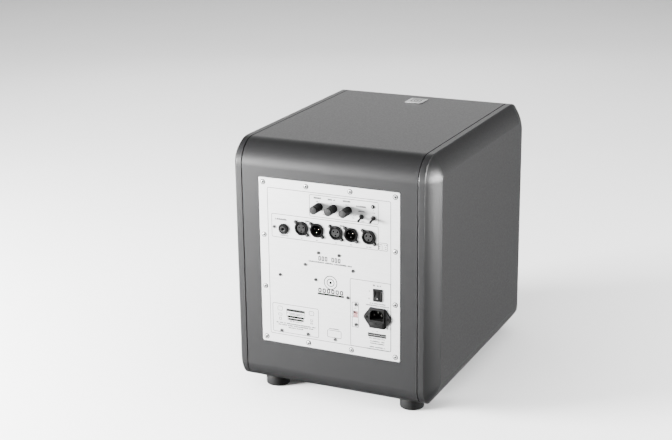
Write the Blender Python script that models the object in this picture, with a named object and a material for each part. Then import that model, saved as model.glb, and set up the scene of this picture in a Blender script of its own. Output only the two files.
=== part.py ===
"""Powered subwoofer: bent-wrap cabinet, two crowned side panels, one long-throw driver
behind a full-width slot port, and a rear amplifier plate with its sockets and controls.

Frame: metres, +Z up, origin on the floor below the middle of the whole object's box.
The driver faces -Y and the amplifier plate faces +Y.
"""

import math

import bmesh
import bpy
from mathutils import Matrix, Vector

MM = 0.001
GAP = 0.3 * MM  # clearance between pieces that touch

# Cabinet
FOOT_HEIGHT = 24 * MM
FOOT_RADIUS = 22 * MM
FOOT_X = 135 * MM
FOOT_INSET = 57 * MM
CABINET_HEIGHT = 452 * MM
DEPTH = 502 * MM
FRAME_SHIFT = 11.35 * MM  # half of what the knobs stand out more than the driver does
FRONT = -DEPTH / 2 - FRAME_SHIFT
REAR = DEPTH / 2 - FRAME_SHIFT
BOTTOM = FOOT_HEIGHT
TOP = BOTTOM + CABINET_HEIGHT
WALL = 20 * MM
WRAP_HALF = 166.6 * MM
BAND_START = 168.1 * MM
BAND_END = 178.6 * MM
SIDE_HALF = 197.5 * MM
GROOVE_DEPTH = 3 * MM
BEVEL_INSET = 36.6 * MM
BEVEL_TILT_START = math.radians(40.0)
BEVEL_TILT_END = math.radians(14.4)
RADIUS_FRONT_TOP = 56 * MM
RADIUS_REAR_TOP = 45 * MM
RADIUS_REAR_BOTTOM = 34 * MM
RADIUS_FRONT_BOTTOM = 18 * MM

# Slot port
PORT_FLOOR = BOTTOM + 2 * RADIUS_FRONT_BOTTOM
PORT_TOP = BOTTOM + 68.5 * MM
PORT_LIP_RADIUS = 8 * MM
SHELF_THICKNESS = 16 * MM
SHELF_END = FRONT + 351 * MM

# Driver; depths are measured inwards from the cabinet's front face
DRIVER_Z = 265 * MM
TRIM_OUTER = 151.6 * MM
FLANGE_OUTER = 148.4 * MM
FLANGE_THICKNESS = 7.2 * MM
DRIVER_HOLE = 132.6 * MM
SCREW_CIRCLE = 137 * MM
DRIVER_SCREWS = 8
ROLL_OUTER = 130 * MM
ROLL_INNER = 107 * MM
ROLL_BASE = 7.4 * MM
ROLL_HEIGHT = 10 * MM
CONE_RADIUS = 105 * MM
CONE_LIP = 96.5 * MM
LIP_THICKNESS = 1.2 * MM
CONE_DEPTH = 9.2 * MM
CONE_SLOPE = math.tan(math.radians(31.0))
NECK_RADIUS = 39.4 * MM
DUST_CAP_RADIUS = 59 * MM
DUST_CAP_HEIGHT = 22 * MM
COIL_RADIUS = 38.6 * MM
COIL_END = 104 * MM
BASKET_DEPTH = 86 * MM
SPIDER_DEPTH = 70 * MM

# Amplifier plate; positions on it are (X, Z) from the plate's middle
PLATE_Z = 260 * MM
PLATE_WIDTH = 269 * MM
PLATE_HEIGHT = 308 * MM
PLATE_THICKNESS = 3 * MM
PLATE_CORNER = 2.5 * MM
PLATE_FACE = REAR - 0.5 * MM
PLATE_BACK = PLATE_FACE - PLATE_THICKNESS
REBATE_GAP = 0.8 * MM
PILOT_DEPTH = 12 * MM
SCREW_COLUMNS = (126.1 * MM, 42.05 * MM, -42.05 * MM, -126.1 * MM)
SCREW_ROWS = (145.6 * MM, 48.4 * MM, -48.4 * MM, -145.6 * MM)
KNOBS = (
    ("level_knob", 16.6 * MM),
    ("low_pass_knob", -11.2 * MM),
    ("phase_knob", -38.8 * MM),
)
KNOB_ROW = 112.3 * MM
KNOB_RADIUS = 7.5 * MM
KNOB_LENGTH = 25 * MM
TOGGLES = (("polarity_toggle", -63.6 * MM), ("mute_toggle", -85.6 * MM))
TOGGLE_ROW = 103.6 * MM
TOGGLE_TILT = math.radians(15.0)
TOGGLE_LENGTH = 17.5 * MM
XLR_ROW = 68.5 * MM
XLR_SOCKETS = (
    ("xlr_input_right", 51.8 * MM, True),
    ("xlr_output_right", 22.2 * MM, False),
    ("xlr_input_left", -14.5 * MM, True),
    ("xlr_output_left", -43.3 * MM, False),
    ("xlr_sub_input", -76.8 * MM, True),
)
XLR_RADIUS = 13 * MM
XLR_EAR = 11.2 * MM
JACK_AT = (87.0 * MM, 63.5 * MM)
ROCKER_AT = (-93.0 * MM, -35.4 * MM)
ROCKER_SIZE = (16.8 * MM, 23.2 * MM)
INLET_AT = (-92.9 * MM, -77.0 * MM)
INLET_HALF_WIDTH = 25.6 * MM
INLET_BLOCK = (28.6 * MM, 36.8 * MM)
SELECTOR_AT = (-50.6 * MM, -77.0 * MM)
SELECTOR_SLOT = (9.0 * MM, 12.0 * MM)
SELECTOR_TRAVEL = 4 * MM

# Badge on the top panel
BADGE_SIZE = (35 * MM, 38 * MM)
BADGE_Y = FRONT + 94 * MM
BADGE_THICKNESS = 0.8 * MM

ARC_STEPS = 6


# ---------------------------------------------------------------- scene and materials


def clear_scene():
    for item in list(bpy.data.objects):
        bpy.data.objects.remove(item, do_unlink=True)


def make_material(name, colour, roughness, metallic=0.0):
    material = bpy.data.materials.new(name)
    material.use_nodes = True
    shader = material.node_tree.nodes["Principled BSDF"]
    shader.inputs["Base Color"].default_value = (*colour, 1.0)
    shader.inputs["Roughness"].default_value = roughness
    shader.inputs["Metallic"].default_value = metallic
    return material


def make_materials():
    return {
        "paint": make_material("satin_paint", (0.10, 0.10, 0.105), 0.5),
        "board": make_material("bare_board", (0.45, 0.33, 0.20), 0.8),
        "cast": make_material("cast_frame", (0.03, 0.03, 0.03), 0.45, 0.6),
        "rubber": make_material("soft_rubber", (0.04, 0.04, 0.04), 0.55),
        "cone": make_material("speckled_cone", (0.30, 0.30, 0.30), 0.5),
        "dome": make_material("satin_dome", (0.03, 0.03, 0.03), 0.3),
        "cloth": make_material("spider_cloth", (0.55, 0.42, 0.18), 0.9),
        "copper": make_material("winding", (0.60, 0.28, 0.12), 0.4, 1.0),
        "steel": make_material("plated_steel", (0.55, 0.55, 0.56), 0.35, 1.0),
        "ferrite": make_material("ferrite", (0.06, 0.06, 0.06), 0.7),
        "plate": make_material("brushed_plate", (0.80, 0.80, 0.80), 0.35, 1.0),
        "plastic": make_material("black_plastic", (0.02, 0.02, 0.02), 0.4),
        "circuit": make_material("circuit_green", (0.02, 0.16, 0.07), 0.5),
        "slider": make_material("selector_pink", (0.70, 0.50, 0.50), 0.5),
        "screw": make_material("black_screw", (0.03, 0.03, 0.03), 0.35, 0.8),
    }


def add_object(name, bm, material, origin=(0.0, 0.0, 0.0)):
    """A mesh object whose points are given in the world; origin becomes its own origin."""
    bmesh.ops.recalc_face_normals(bm, faces=bm.faces)
    bmesh.ops.translate(bm, verts=bm.verts, vec=-Vector(origin))
    mesh = bpy.data.meshes.new(name)
    bm.to_mesh(mesh)
    bm.free()
    mesh.materials.append(material)
    mesh.shade_smooth()
    mesh.set_sharp_from_angle(angle=math.radians(35.0))
    item = bpy.data.objects.new(name, mesh)
    item.location = origin
    bpy.context.scene.collection.objects.link(item)
    return item


def add_cutter(name, bm):
    bmesh.ops.recalc_face_normals(bm, faces=bm.faces)
    mesh = bpy.data.meshes.new(name)
    bm.to_mesh(mesh)
    bm.free()
    item = bpy.data.objects.new(name, mesh)
    item.hide_render = True
    item.display_type = "WIRE"
    bpy.context.scene.collection.objects.link(item)
    return item


def boolean(item, other, operation="DIFFERENCE"):
    modifier = item.modifiers.new(other.name, "BOOLEAN")
    modifier.object = other
    modifier.operation = operation
    modifier.solver = "EXACT"


# ---------------------------------------------------------------- shape helpers


def arc(centre, radius, start, end, steps=ARC_STEPS):
    """Points on an arc, in degrees, both ends included."""
    points = []
    for step in range(steps + 1):
        angle = math.radians(start + (end - start) * step / steps)
        points.append(
            (centre[0] + radius * math.cos(angle), centre[1] + radius * math.sin(angle))
        )
    return points


def prism(bm, outline, to_world, start, end):
    """Extrudes a flat outline of (a, b) points from start to end along the third axis."""
    lower = [bm.verts.new(to_world(a, b, start)) for a, b in outline]
    face = bm.faces.new(lower)
    grown = bmesh.ops.extrude_face_region(bm, geom=[face])
    moved = [part for part in grown["geom"] if isinstance(part, bmesh.types.BMVert)]
    shift = Vector(to_world(0, 0, end)) - Vector(to_world(0, 0, start))
    bmesh.ops.translate(bm, verts=moved, vec=shift)


def along_x(a, b, depth):
    """An outline in Y and Z, extruded along X."""
    return (depth, a, b)


def on_plate(a, b, depth):
    """An outline on the amplifier plate, extruded along Y."""
    return (a, depth, PLATE_Z + b)


def circle(centre, radius, steps, turn=0.0):
    points = []
    for step in range(steps):
        angle = math.radians(turn) + 2 * math.pi * step / steps
        points.append(
            (centre[0] + radius * math.cos(angle), centre[1] + radius * math.sin(angle))
        )
    return points


def rectangle(centre, width, height):
    left = centre[0] - width / 2
    right = centre[0] + width / 2
    low = centre[1] - height / 2
    high = centre[1] + height / 2
    return [(left, low), (right, low), (right, high), (left, high)]


def rounded_rectangle(centre, width, height, radius, steps=4):
    left = centre[0] - width / 2 + radius
    right = centre[0] + width / 2 - radius
    low = centre[1] - height / 2 + radius
    high = centre[1] + height / 2 - radius
    return (
        arc((right, low), radius, -90, 0, steps)
        + arc((right, high), radius, 0, 90, steps)
        + arc((left, high), radius, 90, 180, steps)
        + arc((left, low), radius, 180, 270, steps)
    )


def lathe(bm, profile, centre, steps):
    """Turns a closed profile of (radius, y) points about the Y axis through centre."""
    made = []
    for radius, depth in profile:
        made.append(bm.verts.new((centre[0] + radius, depth, centre[1])))
    edges = []
    for index, vert in enumerate(made):
        following = made[(index + 1) % len(made)]
        on_axis = profile[index][0] == 0 and profile[(index + 1) % len(made)][0] == 0
        if not on_axis:
            edges.append(bm.edges.new((vert, following)))
    bmesh.ops.spin(
        bm,
        geom=made + edges,
        cent=(centre[0], 0.0, centre[1]),
        axis=(0.0, 1.0, 0.0),
        angle=2 * math.pi,
        steps=steps,
    )
    bmesh.ops.remove_doubles(bm, verts=bm.verts, dist=0.01 * MM)


def turned(name, profile, centre, steps, material, origin=None):
    """A turned piece; the profile's depths are world Y values."""
    bm = bmesh.new()
    lathe(bm, profile, centre, steps)
    return add_object(name, bm, material, origin or (0.0, 0.0, 0.0))


# ---------------------------------------------------------------- cabinet


def side_outline(inset):
    """The cabinet's side outline in (y, z), moved inwards by inset."""
    smallest = 1.5 * MM
    corners = (
        (REAR, BOTTOM, RADIUS_REAR_BOTTOM, -1, 1, -90),
        (REAR, TOP, RADIUS_REAR_TOP, -1, -1, 0),
        (FRONT, TOP, RADIUS_FRONT_TOP, 1, -1, 90),
        (FRONT, BOTTOM, RADIUS_FRONT_BOTTOM, 1, 1, 180),
    )
    points = []
    for y, z, radius, towards_y, towards_z, start in corners:
        left = max(radius - inset, smallest)
        centre = (y + towards_y * (inset + left), z + towards_z * (inset + left))
        points += arc(centre, left, start, start + 90)
    return points


def wrap_outline():
    """Cross-section of the bent wrap: an open ring that leaves the slot port at the front."""
    lip = RADIUS_FRONT_BOTTOM
    outer = arc((FRONT + lip, BOTTOM + lip), lip, 90, 270, 2 * ARC_STEPS)
    outer += arc(
        (REAR - RADIUS_REAR_BOTTOM, BOTTOM + RADIUS_REAR_BOTTOM), RADIUS_REAR_BOTTOM, -90, 0
    )
    outer += arc((REAR - RADIUS_REAR_TOP, TOP - RADIUS_REAR_TOP), RADIUS_REAR_TOP, 0, 90)
    outer += arc(
        (FRONT + RADIUS_FRONT_TOP, TOP - RADIUS_FRONT_TOP), RADIUS_FRONT_TOP, 90, 180
    )
    outer += arc(
        (FRONT + PORT_LIP_RADIUS, PORT_TOP + PORT_LIP_RADIUS), PORT_LIP_RADIUS, 180, 270, 4
    )
    front_inner = RADIUS_FRONT_TOP - WALL
    rear_inner = RADIUS_REAR_TOP - WALL
    inner = [(FRONT + WALL, PORT_TOP)]
    inner += arc(
        (FRONT + RADIUS_FRONT_TOP, TOP - RADIUS_FRONT_TOP), front_inner, 180, 90, 4
    )
    inner += arc((REAR - RADIUS_REAR_TOP, TOP - RADIUS_REAR_TOP), rear_inner, 90, 0, 4)
    inner.append((REAR - WALL, PORT_FLOOR))
    return outer + inner


def driver_cutter():
    """Stepped hole for the driver: a rebate for the flange and a clear hole behind it."""
    rebate = FLANGE_THICKNESS + GAP
    profile = [
        (0, FRONT - 5 * MM),
        (TRIM_OUTER + GAP, FRONT - 5 * MM),
        (TRIM_OUTER + GAP, FRONT + rebate),
        (DRIVER_HOLE, FRONT + rebate),
        (DRIVER_HOLE, FRONT + WALL + 5 * MM),
        (0, FRONT + WALL + 5 * MM),
    ]
    bm = bmesh.new()
    lathe(bm, profile, (0.0, DRIVER_Z), 48)
    return add_cutter("driver_cutter", bm)


def amp_rebate_cutter():
    bm = bmesh.new()
    outline = rounded_rectangle(
        (0, 0),
        PLATE_WIDTH + 2 * REBATE_GAP,
        PLATE_HEIGHT + 2 * REBATE_GAP,
        PLATE_CORNER + REBATE_GAP,
    )
    prism(bm, outline, on_plate, PLATE_BACK - GAP, REAR + 5 * MM)
    return add_cutter("amp_rebate_cutter", bm)


def amp_hole_cutter():
    bm = bmesh.new()
    outline = rectangle((0, 0), PLATE_WIDTH - 30 * MM, PLATE_HEIGHT - 30 * MM)
    prism(bm, outline, on_plate, REAR - WALL - 5 * MM, REAR - 1 * MM)
    return add_cutter("amp_hole_cutter", bm)


def pilot_hole_cutter():
    """Blind holes in the rebate's ledge for the plate's screws."""
    bm = bmesh.new()
    for place in plate_screw_places():
        outline = circle(place, 2.3 * MM, 8)
        prism(bm, outline, on_plate, PLATE_BACK - PILOT_DEPTH, PLATE_BACK + 1 * MM)
    return add_cutter("pilot_hole_cutter", bm)


def build_wrap(materials):
    bm = bmesh.new()
    prism(bm, wrap_outline(), along_x, -WRAP_HALF, WRAP_HALF)
    wrap = add_object("cabinet_wrap", bm, materials["paint"])
    boolean(wrap, driver_cutter())
    boolean(wrap, amp_rebate_cutter())
    boolean(wrap, amp_hole_cutter())
    boolean(wrap, pilot_hole_cutter())


def bevel_curve(steps):
    """(x, inset) points of the crowned bevel, an arc that turns from steep to shallow."""
    edge_x = BAND_END + 0.9 * MM
    edge_inset = 1.6 * MM
    turn = BEVEL_TILT_START - BEVEL_TILT_END
    length = (BEVEL_INSET - edge_inset) * turn
    length /= math.sin(BEVEL_TILT_START) - math.sin(BEVEL_TILT_END)
    points = []
    for step in range(steps + 1):
        tilt = BEVEL_TILT_START - turn * step / steps
        inset = edge_inset + length * (math.sin(BEVEL_TILT_START) - math.sin(tilt)) / turn
        rise = length * (math.cos(tilt) - math.cos(BEVEL_TILT_START)) / turn
        points.append((edge_x + rise, inset))
    return points


def panel_sections():
    """(x, inset) of each section of a side panel, from its inner face outwards."""
    sections = [
        (WRAP_HALF + GAP, GROOVE_DEPTH),
        (BAND_START, GROOVE_DEPTH),
        (BAND_START, 0.5 * MM),
        (BAND_START + 0.5 * MM, 0.0),
        (BAND_END, 0.0),
        (BAND_END + 0.7 * MM, 0.5 * MM),
    ]
    return sections + bevel_curve(4)


def build_side_panel(name, side, materials):
    bm = bmesh.new()
    rings = []
    for x, inset in panel_sections():
        rings.append([bm.verts.new((side * x, y, z)) for y, z in side_outline(inset)])
    bm.faces.new(rings[0])
    bm.faces.new(rings[-1])
    for ring, following in zip(rings, rings[1:]):
        for index in range(len(ring)):
            after = (index + 1) % len(ring)
            bm.faces.new((ring[index], ring[after], following[after], following[index]))
    add_object(name, bm, materials["paint"])


def build_port_shelf(materials):
    bm = bmesh.new()
    middle_y = (FRONT + WALL + GAP + SHELF_END) / 2
    length = SHELF_END - FRONT - WALL - GAP
    outline = rectangle((middle_y, PORT_TOP + SHELF_THICKNESS / 2), length, SHELF_THICKNESS)
    prism(bm, outline, along_x, -WRAP_HALF, WRAP_HALF)
    add_object("port_shelf", bm, materials["board"])


def build_feet(materials):
    chamfer = 2 * MM
    places = (
        ("foot_front_left", -FOOT_X, FRONT + FOOT_INSET),
        ("foot_front_right", FOOT_X, FRONT + FOOT_INSET),
        ("foot_rear_left", -FOOT_X, REAR - FOOT_INSET),
        ("foot_rear_right", FOOT_X, REAR - FOOT_INSET),
    )
    for name, x, y in places:
        bm = bmesh.new()
        sections = ((FOOT_RADIUS - chamfer, 0.0), (FOOT_RADIUS, chamfer))
        sections += ((FOOT_RADIUS, FOOT_HEIGHT - GAP),)
        rings = []
        for radius, z in sections:
            rings.append([bm.verts.new((a, b, z)) for a, b in circle((x, y), radius, 20)])
        bm.faces.new(rings[0])
        bm.faces.new(rings[-1])
        for ring, following in zip(rings, rings[1:]):
            for index in range(len(ring)):
                after = (index + 1) % len(ring)
                quad = (ring[index], ring[after], following[after], following[index])
                bm.faces.new(quad)
        add_object(name, bm, materials["rubber"])


def build_badge(materials):
    bm = bmesh.new()
    outline = rounded_rectangle((0, BADGE_Y), *BADGE_SIZE, 2 * MM, 3)
    base = TOP + GAP
    prism(bm, outline, lambda a, b, depth: (a, b, depth), base, base + BADGE_THICKNESS)
    add_object("top_badge", bm, materials["plate"])


# ---------------------------------------------------------------- driver


def inwards(profile):
    """Turns (radius, depth behind the front face) points into (radius, world y) points."""
    return [(radius, FRONT + depth) for radius, depth in profile]


def cone_depth(radius):
    """Depth of the cone's front surface at a radius."""
    return CONE_DEPTH + (CONE_RADIUS - radius) * CONE_SLOPE


def build_trim_ring(materials):
    inner = FLANGE_OUTER + GAP
    profile = [
        (inner, 7.0 * MM),
        (inner, 0.4 * MM),
        (inner + 0.6 * MM, -0.2 * MM),
        (TRIM_OUTER - 0.6 * MM, -0.2 * MM),
        (TRIM_OUTER, 0.4 * MM),
        (TRIM_OUTER, 7.0 * MM),
    ]
    turned("driver_trim_ring", inwards(profile), (0.0, DRIVER_Z), 48, materials["rubber"])


def basket_profile():
    back = FLANGE_THICKNESS
    seat = ROLL_BASE + 1.1 * MM
    return [
        (FLANGE_OUTER, 0.6 * MM),
        (FLANGE_OUTER, back),
        (DRIVER_HOLE - GAP, back),
        (DRIVER_HOLE - 3 * MM, 30 * MM),
        (100 * MM, 74 * MM),
        (66 * MM, 80 * MM),
        (66 * MM, BASKET_DEPTH),
        (42 * MM, BASKET_DEPTH),
        (42 * MM, 80 * MM),
        (62 * MM, 76 * MM),
        (96 * MM, 69 * MM),
        (125 * MM, 28 * MM),
        (126 * MM, seat),
        (ROLL_OUTER + 0.8 * MM, seat),
        (132.8 * MM, 4.2 * MM),
        (140 * MM, 2.0 * MM),
        (146 * MM, 0.6 * MM),
    ]


def basket_window_cutter():
    """Six openings between the basket's spokes."""
    bm = bmesh.new()
    windows = 6
    width = 64 * MM
    reach = 160 * MM
    start = FRONT + 32 * MM
    end = FRONT + 66 * MM
    for index in range(windows):
        turn = Matrix.Rotation(2 * math.pi * index / windows, 3, "Y")

        def place(a, b, depth, turn=turn):
            spot = turn @ Vector((a, 0.0, b))
            return (spot.x, depth, DRIVER_Z + spot.z)

        prism(bm, rectangle((70 * MM + reach / 2, 0), reach, width), place, start, end)
    return add_cutter("basket_window_cutter", bm)


def screw_places():
    """(x, z) of each driver screw; the first is at the top."""
    return circle((0.0, DRIVER_Z), SCREW_CIRCLE, DRIVER_SCREWS, 90)


def driver_screw_hole_cutter():
    bm = bmesh.new()
    for x, z in screw_places():
        profile = [
            (0, -2 * MM),
            (4.6 * MM, -2 * MM),
            (4.6 * MM, 5.2 * MM),
            (0, 5.2 * MM),
        ]
        lathe(bm, inwards(profile), (x, z), 10)
    return add_cutter("driver_screw_hole_cutter", bm)


def build_basket(materials):
    basket = turned(
        "driver_basket",
        inwards(basket_profile()),
        (0.0, DRIVER_Z),
        48,
        materials["cast"],
    )
    boolean(basket, basket_window_cutter())
    boolean(basket, driver_screw_hole_cutter())


def build_driver_screws(materials):
    """Button-head screws sunk in the flange's pockets."""
    for index, (x, z) in enumerate(screw_places()):
        profile = [
            (0, 1.4 * MM),
            (3.6 * MM, 1.4 * MM),
            (4.1 * MM, 1.9 * MM),
            (4.1 * MM, 4.9 * MM),
            (0, 4.9 * MM),
        ]
        name = f"driver_screw_{index + 1}"
        turned(name, inwards(profile), (x, z), 10, materials["screw"])


def roll(radius, height, base, start, end):
    """Points of the half-roll, an ellipse over the gap between basket and cone."""
    middle = (ROLL_OUTER + ROLL_INNER) / 2
    points = []
    for a, b in arc((0.0, 0.0), 1.0, start, end):
        points.append((middle + radius * a, base - height * b))
    return points


def surround_profile():
    """Half-roll rubber edge with its outer lip on the basket's seat."""
    thickness = 1.2 * MM
    radius = (ROLL_OUTER - ROLL_INNER) / 2
    lip = ROLL_OUTER + 0.4 * MM
    back = ROLL_BASE + 0.8 * MM
    front = [(lip, ROLL_BASE)] + roll(radius, ROLL_HEIGHT, ROLL_BASE, 0, 180)
    rear = roll(radius - thickness, ROLL_HEIGHT - 0.4 * MM, back, 180, 0)
    return front + rear + [(lip, back)]


def build_surround(materials):
    profile = inwards(surround_profile())
    turned("surround", profile, (0.0, DRIVER_Z), 40, materials["rubber"])


def build_cone(materials):
    """Paper cone with the surround's inner lip glued on its rim."""
    thickness = 1.6 * MM
    rim = cone_depth(CONE_RADIUS)
    lip = cone_depth(CONE_LIP)
    neck = cone_depth(NECK_RADIUS)
    profile = [
        (CONE_RADIUS, rim - LIP_THICKNESS),
        (CONE_LIP, lip - LIP_THICKNESS),
        (CONE_LIP - 0.3 * MM, lip),
        (NECK_RADIUS, neck),
        (NECK_RADIUS, neck + thickness),
        (CONE_RADIUS, rim + thickness),
    ]
    turned("cone", inwards(profile), (0.0, DRIVER_Z), 40, materials["cone"])


def build_dust_cap(materials):
    """A shallow spherical dome that stands on the cone."""
    edge = DUST_CAP_RADIUS
    rise = DUST_CAP_HEIGHT
    sphere = (edge * edge + rise * rise) / (2 * rise)
    base = cone_depth(edge) - 2 * GAP
    sweep = math.degrees(math.asin(edge / sphere))
    centre_depth = base - rise + sphere
    thickness = 1.2 * MM
    outer = []
    inner = []
    steps = 5
    for step in range(steps + 1):
        angle = math.radians(sweep * step / steps)
        outer.append((sphere * math.sin(angle), centre_depth - sphere * math.cos(angle)))
        within = sphere - thickness
        inner.append((within * math.sin(angle), centre_depth - within * math.cos(angle)))
    profile = outer + list(reversed(inner))
    turned("dust_cap", inwards(profile), (0.0, DRIVER_Z), 32, materials["dome"])


def build_voice_coil(materials):
    start = cone_depth(NECK_RADIUS) - 4 * MM
    inner = COIL_RADIUS - 0.6 * MM
    profile = [
        (inner, start),
        (COIL_RADIUS, start),
        (COIL_RADIUS, COIL_END - 26 * MM),
        (COIL_RADIUS + 1 * MM, COIL_END - 25 * MM),
        (COIL_RADIUS + 1 * MM, COIL_END),
        (inner, COIL_END),
    ]
    turned("voice_coil", inwards(profile), (0.0, DRIVER_Z), 24, materials["copper"])


def build_spider(materials):
    """Corrugated centring disc between the basket and the voice coil."""
    inner = COIL_RADIUS + GAP
    outer = 84 * MM
    folds = 6
    height = 2.2 * MM
    thickness = 0.9 * MM
    front = []
    for fold in range(folds + 1):
        radius = inner + (outer - inner) * fold / folds
        front.append((radius, 64 * MM + height * (fold % 2)))
    back = [(radius, depth + thickness) for radius, depth in reversed(front)]
    turned("spider", inwards(front + back), (0.0, DRIVER_Z), 24, materials["cloth"])


def build_magnet(materials):
    plate = BASKET_DEPTH + GAP
    magnet = plate + 8 * MM + GAP
    yoke = magnet + 40 * MM + GAP
    top = [
        (42 * MM, plate),
        (74 * MM, plate),
        (74 * MM, plate + 8 * MM),
        (42 * MM, plate + 8 * MM),
    ]
    ring = [
        (52 * MM, magnet),
        (89 * MM, magnet),
        (90 * MM, magnet + 1 * MM),
        (90 * MM, magnet + 39 * MM),
        (89 * MM, magnet + 40 * MM),
        (52 * MM, magnet + 40 * MM),
    ]
    pole = [
        (12 * MM, plate + 1 * MM),
        (36 * MM, plate + 1 * MM),
        (36 * MM, yoke),
        (78 * MM, yoke),
        (78 * MM, yoke + 8 * MM),
        (12 * MM, yoke + 8 * MM),
    ]
    centre = (0.0, DRIVER_Z)
    turned("magnet_top_plate", inwards(top), centre, 32, materials["steel"])
    turned("magnet", inwards(ring), centre, 32, materials["ferrite"])
    turned("magnet_yoke", inwards(pole), centre, 32, materials["steel"])


# ---------------------------------------------------------------- amplifier plate


def plate_screw_places():
    """(x, z) on the plate: full rows at the top and bottom, two on each long side."""
    places = []
    for row in SCREW_ROWS:
        at_end = abs(row) == max(SCREW_ROWS)
        columns = SCREW_COLUMNS if at_end else (SCREW_COLUMNS[0], SCREW_COLUMNS[-1])
        places += [(column, row) for column in columns]
    return places


def plate_hole_cutter():
    """Every through hole of the plate as one set of prisms."""
    bm = bmesh.new()
    start = PLATE_BACK - 2 * MM
    end = PLATE_FACE + 2 * MM
    holes = [circle(place, 2.4 * MM, 8) for place in plate_screw_places()]
    holes += [circle((x, KNOB_ROW), 3.6 * MM, 12) for _name, x in KNOBS]
    holes += [circle((x, TOGGLE_ROW), 3.3 * MM, 12) for _name, x in TOGGLES]
    holes += [circle((x, XLR_ROW), 12.2 * MM, 16) for _name, x, _female in XLR_SOCKETS]
    holes.append(circle(JACK_AT, 6.2 * MM, 12))
    holes.append(rectangle(ROCKER_AT, 13.6 * MM, 20.0 * MM))
    holes.append(rectangle(INLET_AT, 27.2 * MM, 35.4 * MM))
    holes.append(rectangle(SELECTOR_AT, *SELECTOR_SLOT))
    for outline in holes:
        prism(bm, outline, on_plate, start, end)
    return add_cutter("plate_hole_cutter", bm)


def build_amp_plate(materials):
    bm = bmesh.new()
    outline = rounded_rectangle((0, 0), PLATE_WIDTH, PLATE_HEIGHT, PLATE_CORNER)
    prism(bm, outline, on_plate, PLATE_BACK, PLATE_FACE)
    plate = add_object("amp_plate", bm, materials["plate"])
    boolean(plate, plate_hole_cutter())


def build_plate_screws(materials):
    """Raised heads with a shank through the plate into the ledge behind it."""
    for index, (x, z) in enumerate(plate_screw_places()):
        face = PLATE_FACE + GAP
        profile = [
            (0, face + 1.4 * MM),
            (3.4 * MM, face + 1.4 * MM),
            (4.6 * MM, face),
            (1.8 * MM, face),
            (1.8 * MM, PLATE_BACK - PILOT_DEPTH + 1 * MM),
            (0, PLATE_BACK - PILOT_DEPTH + 1 * MM),
        ]
        name = f"plate_screw_{index + 1}"
        turned(name, profile, (x, PLATE_Z + z), 10, materials["screw"])


def build_amp_chassis(materials):
    """Pressed tray that closes the amplifier off from the cabinet's air."""
    width = PLATE_WIDTH - 34 * MM
    height = PLATE_HEIGHT - 34 * MM
    sheet = 1.6 * MM
    mouth = PLATE_BACK - 1 * MM
    floor = PLATE_BACK - 86 * MM
    bm = bmesh.new()
    prism(bm, rounded_rectangle((0, 0), width, height, 8 * MM, 2), on_plate, floor, mouth)
    tray = add_object("amp_chassis", bm, materials["steel"])
    bm = bmesh.new()
    inside = rounded_rectangle((0, 0), width - 2 * sheet, height - 2 * sheet, 7 * MM, 2)
    prism(bm, inside, on_plate, floor + sheet, mouth + 5 * MM)
    boolean(tray, add_cutter("chassis_cutter", bm))


def build_circuit_board(materials):
    back = PLATE_BACK - 34 * MM
    bm = bmesh.new()
    outline = rectangle((0, 52 * MM), 214 * MM, 140 * MM)
    prism(bm, outline, on_plate, back, back + 1.6 * MM)
    add_object("circuit_board", bm, materials["circuit"])


def build_transformer(materials):
    """Toroid that stands on the chassis floor below the circuit board."""
    start = PLATE_BACK - 84 * MM
    profile = [
        (16 * MM, start + 4 * MM),
        (20 * MM, start),
        (44 * MM, start),
        (48 * MM, start + 4 * MM),
        (48 * MM, start + 36 * MM),
        (44 * MM, start + 40 * MM),
        (20 * MM, start + 40 * MM),
        (16 * MM, start + 36 * MM),
    ]
    centre = (52 * MM, PLATE_Z - 76 * MM)
    turned("transformer", profile, centre, 24, materials["copper"])


def build_knobs(materials):
    """Long fluted knobs with a flat cap; each turns on its shaft, which passes the plate."""
    base = PLATE_FACE + 0.8 * MM
    for name, x in KNOBS:
        profile = [
            (0, base + KNOB_LENGTH),
            (KNOB_RADIUS - 0.8 * MM, base + KNOB_LENGTH),
            (KNOB_RADIUS, base + KNOB_LENGTH - 0.8 * MM),
            (KNOB_RADIUS, base),
            (3.0 * MM, base),
            (3.0 * MM, PLATE_BACK - 8 * MM),
            (0, PLATE_BACK - 8 * MM),
        ]
        centre = (x, PLATE_Z + KNOB_ROW)
        origin = (x, base, PLATE_Z + KNOB_ROW)
        turned(name, profile, centre, 20, materials["plastic"], origin)


def build_toggle_block(materials):
    """Both toggle switches on their common carrier, with a threaded bush through the plate."""
    bm = bmesh.new()
    middle = (TOGGLES[0][1] + TOGGLES[1][1]) / 2
    back = PLATE_BACK - 12 * MM
    front = PLATE_BACK - GAP
    prism(bm, rectangle((middle, TOGGLE_ROW), 36 * MM, 14 * MM), on_plate, back, front)
    block = add_object("toggle_block", bm, materials["plastic"])
    for name, x in TOGGLES:
        bush = bmesh.new()
        profile = [
            (0, back + 2 * MM),
            (3.0 * MM, back + 2 * MM),
            (3.0 * MM, PLATE_FACE + GAP),
            (4.3 * MM, PLATE_FACE + GAP),
            (4.3 * MM, PLATE_FACE + 1.6 * MM),
            (3.0 * MM, PLATE_FACE + 1.9 * MM),
            (3.0 * MM, PLATE_FACE + 3.0 * MM),
            (0, PLATE_FACE + 3.0 * MM),
        ]
        lathe(bush, profile, (x, PLATE_Z + TOGGLE_ROW), 12)
        boolean(block, add_cutter(f"{name}_bush", bush), "UNION")
        hole = bmesh.new()
        mouth = [
            (0, PLATE_FACE - 3.2 * MM),
            (2.4 * MM, PLATE_FACE - 3.2 * MM),
            (2.5 * MM, PLATE_FACE + 4.0 * MM),
            (0, PLATE_FACE + 4.0 * MM),
        ]
        lathe(hole, mouth, (x, PLATE_Z + TOGGLE_ROW), 12)
        boolean(block, add_cutter(f"{name}_mouth", hole))


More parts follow.
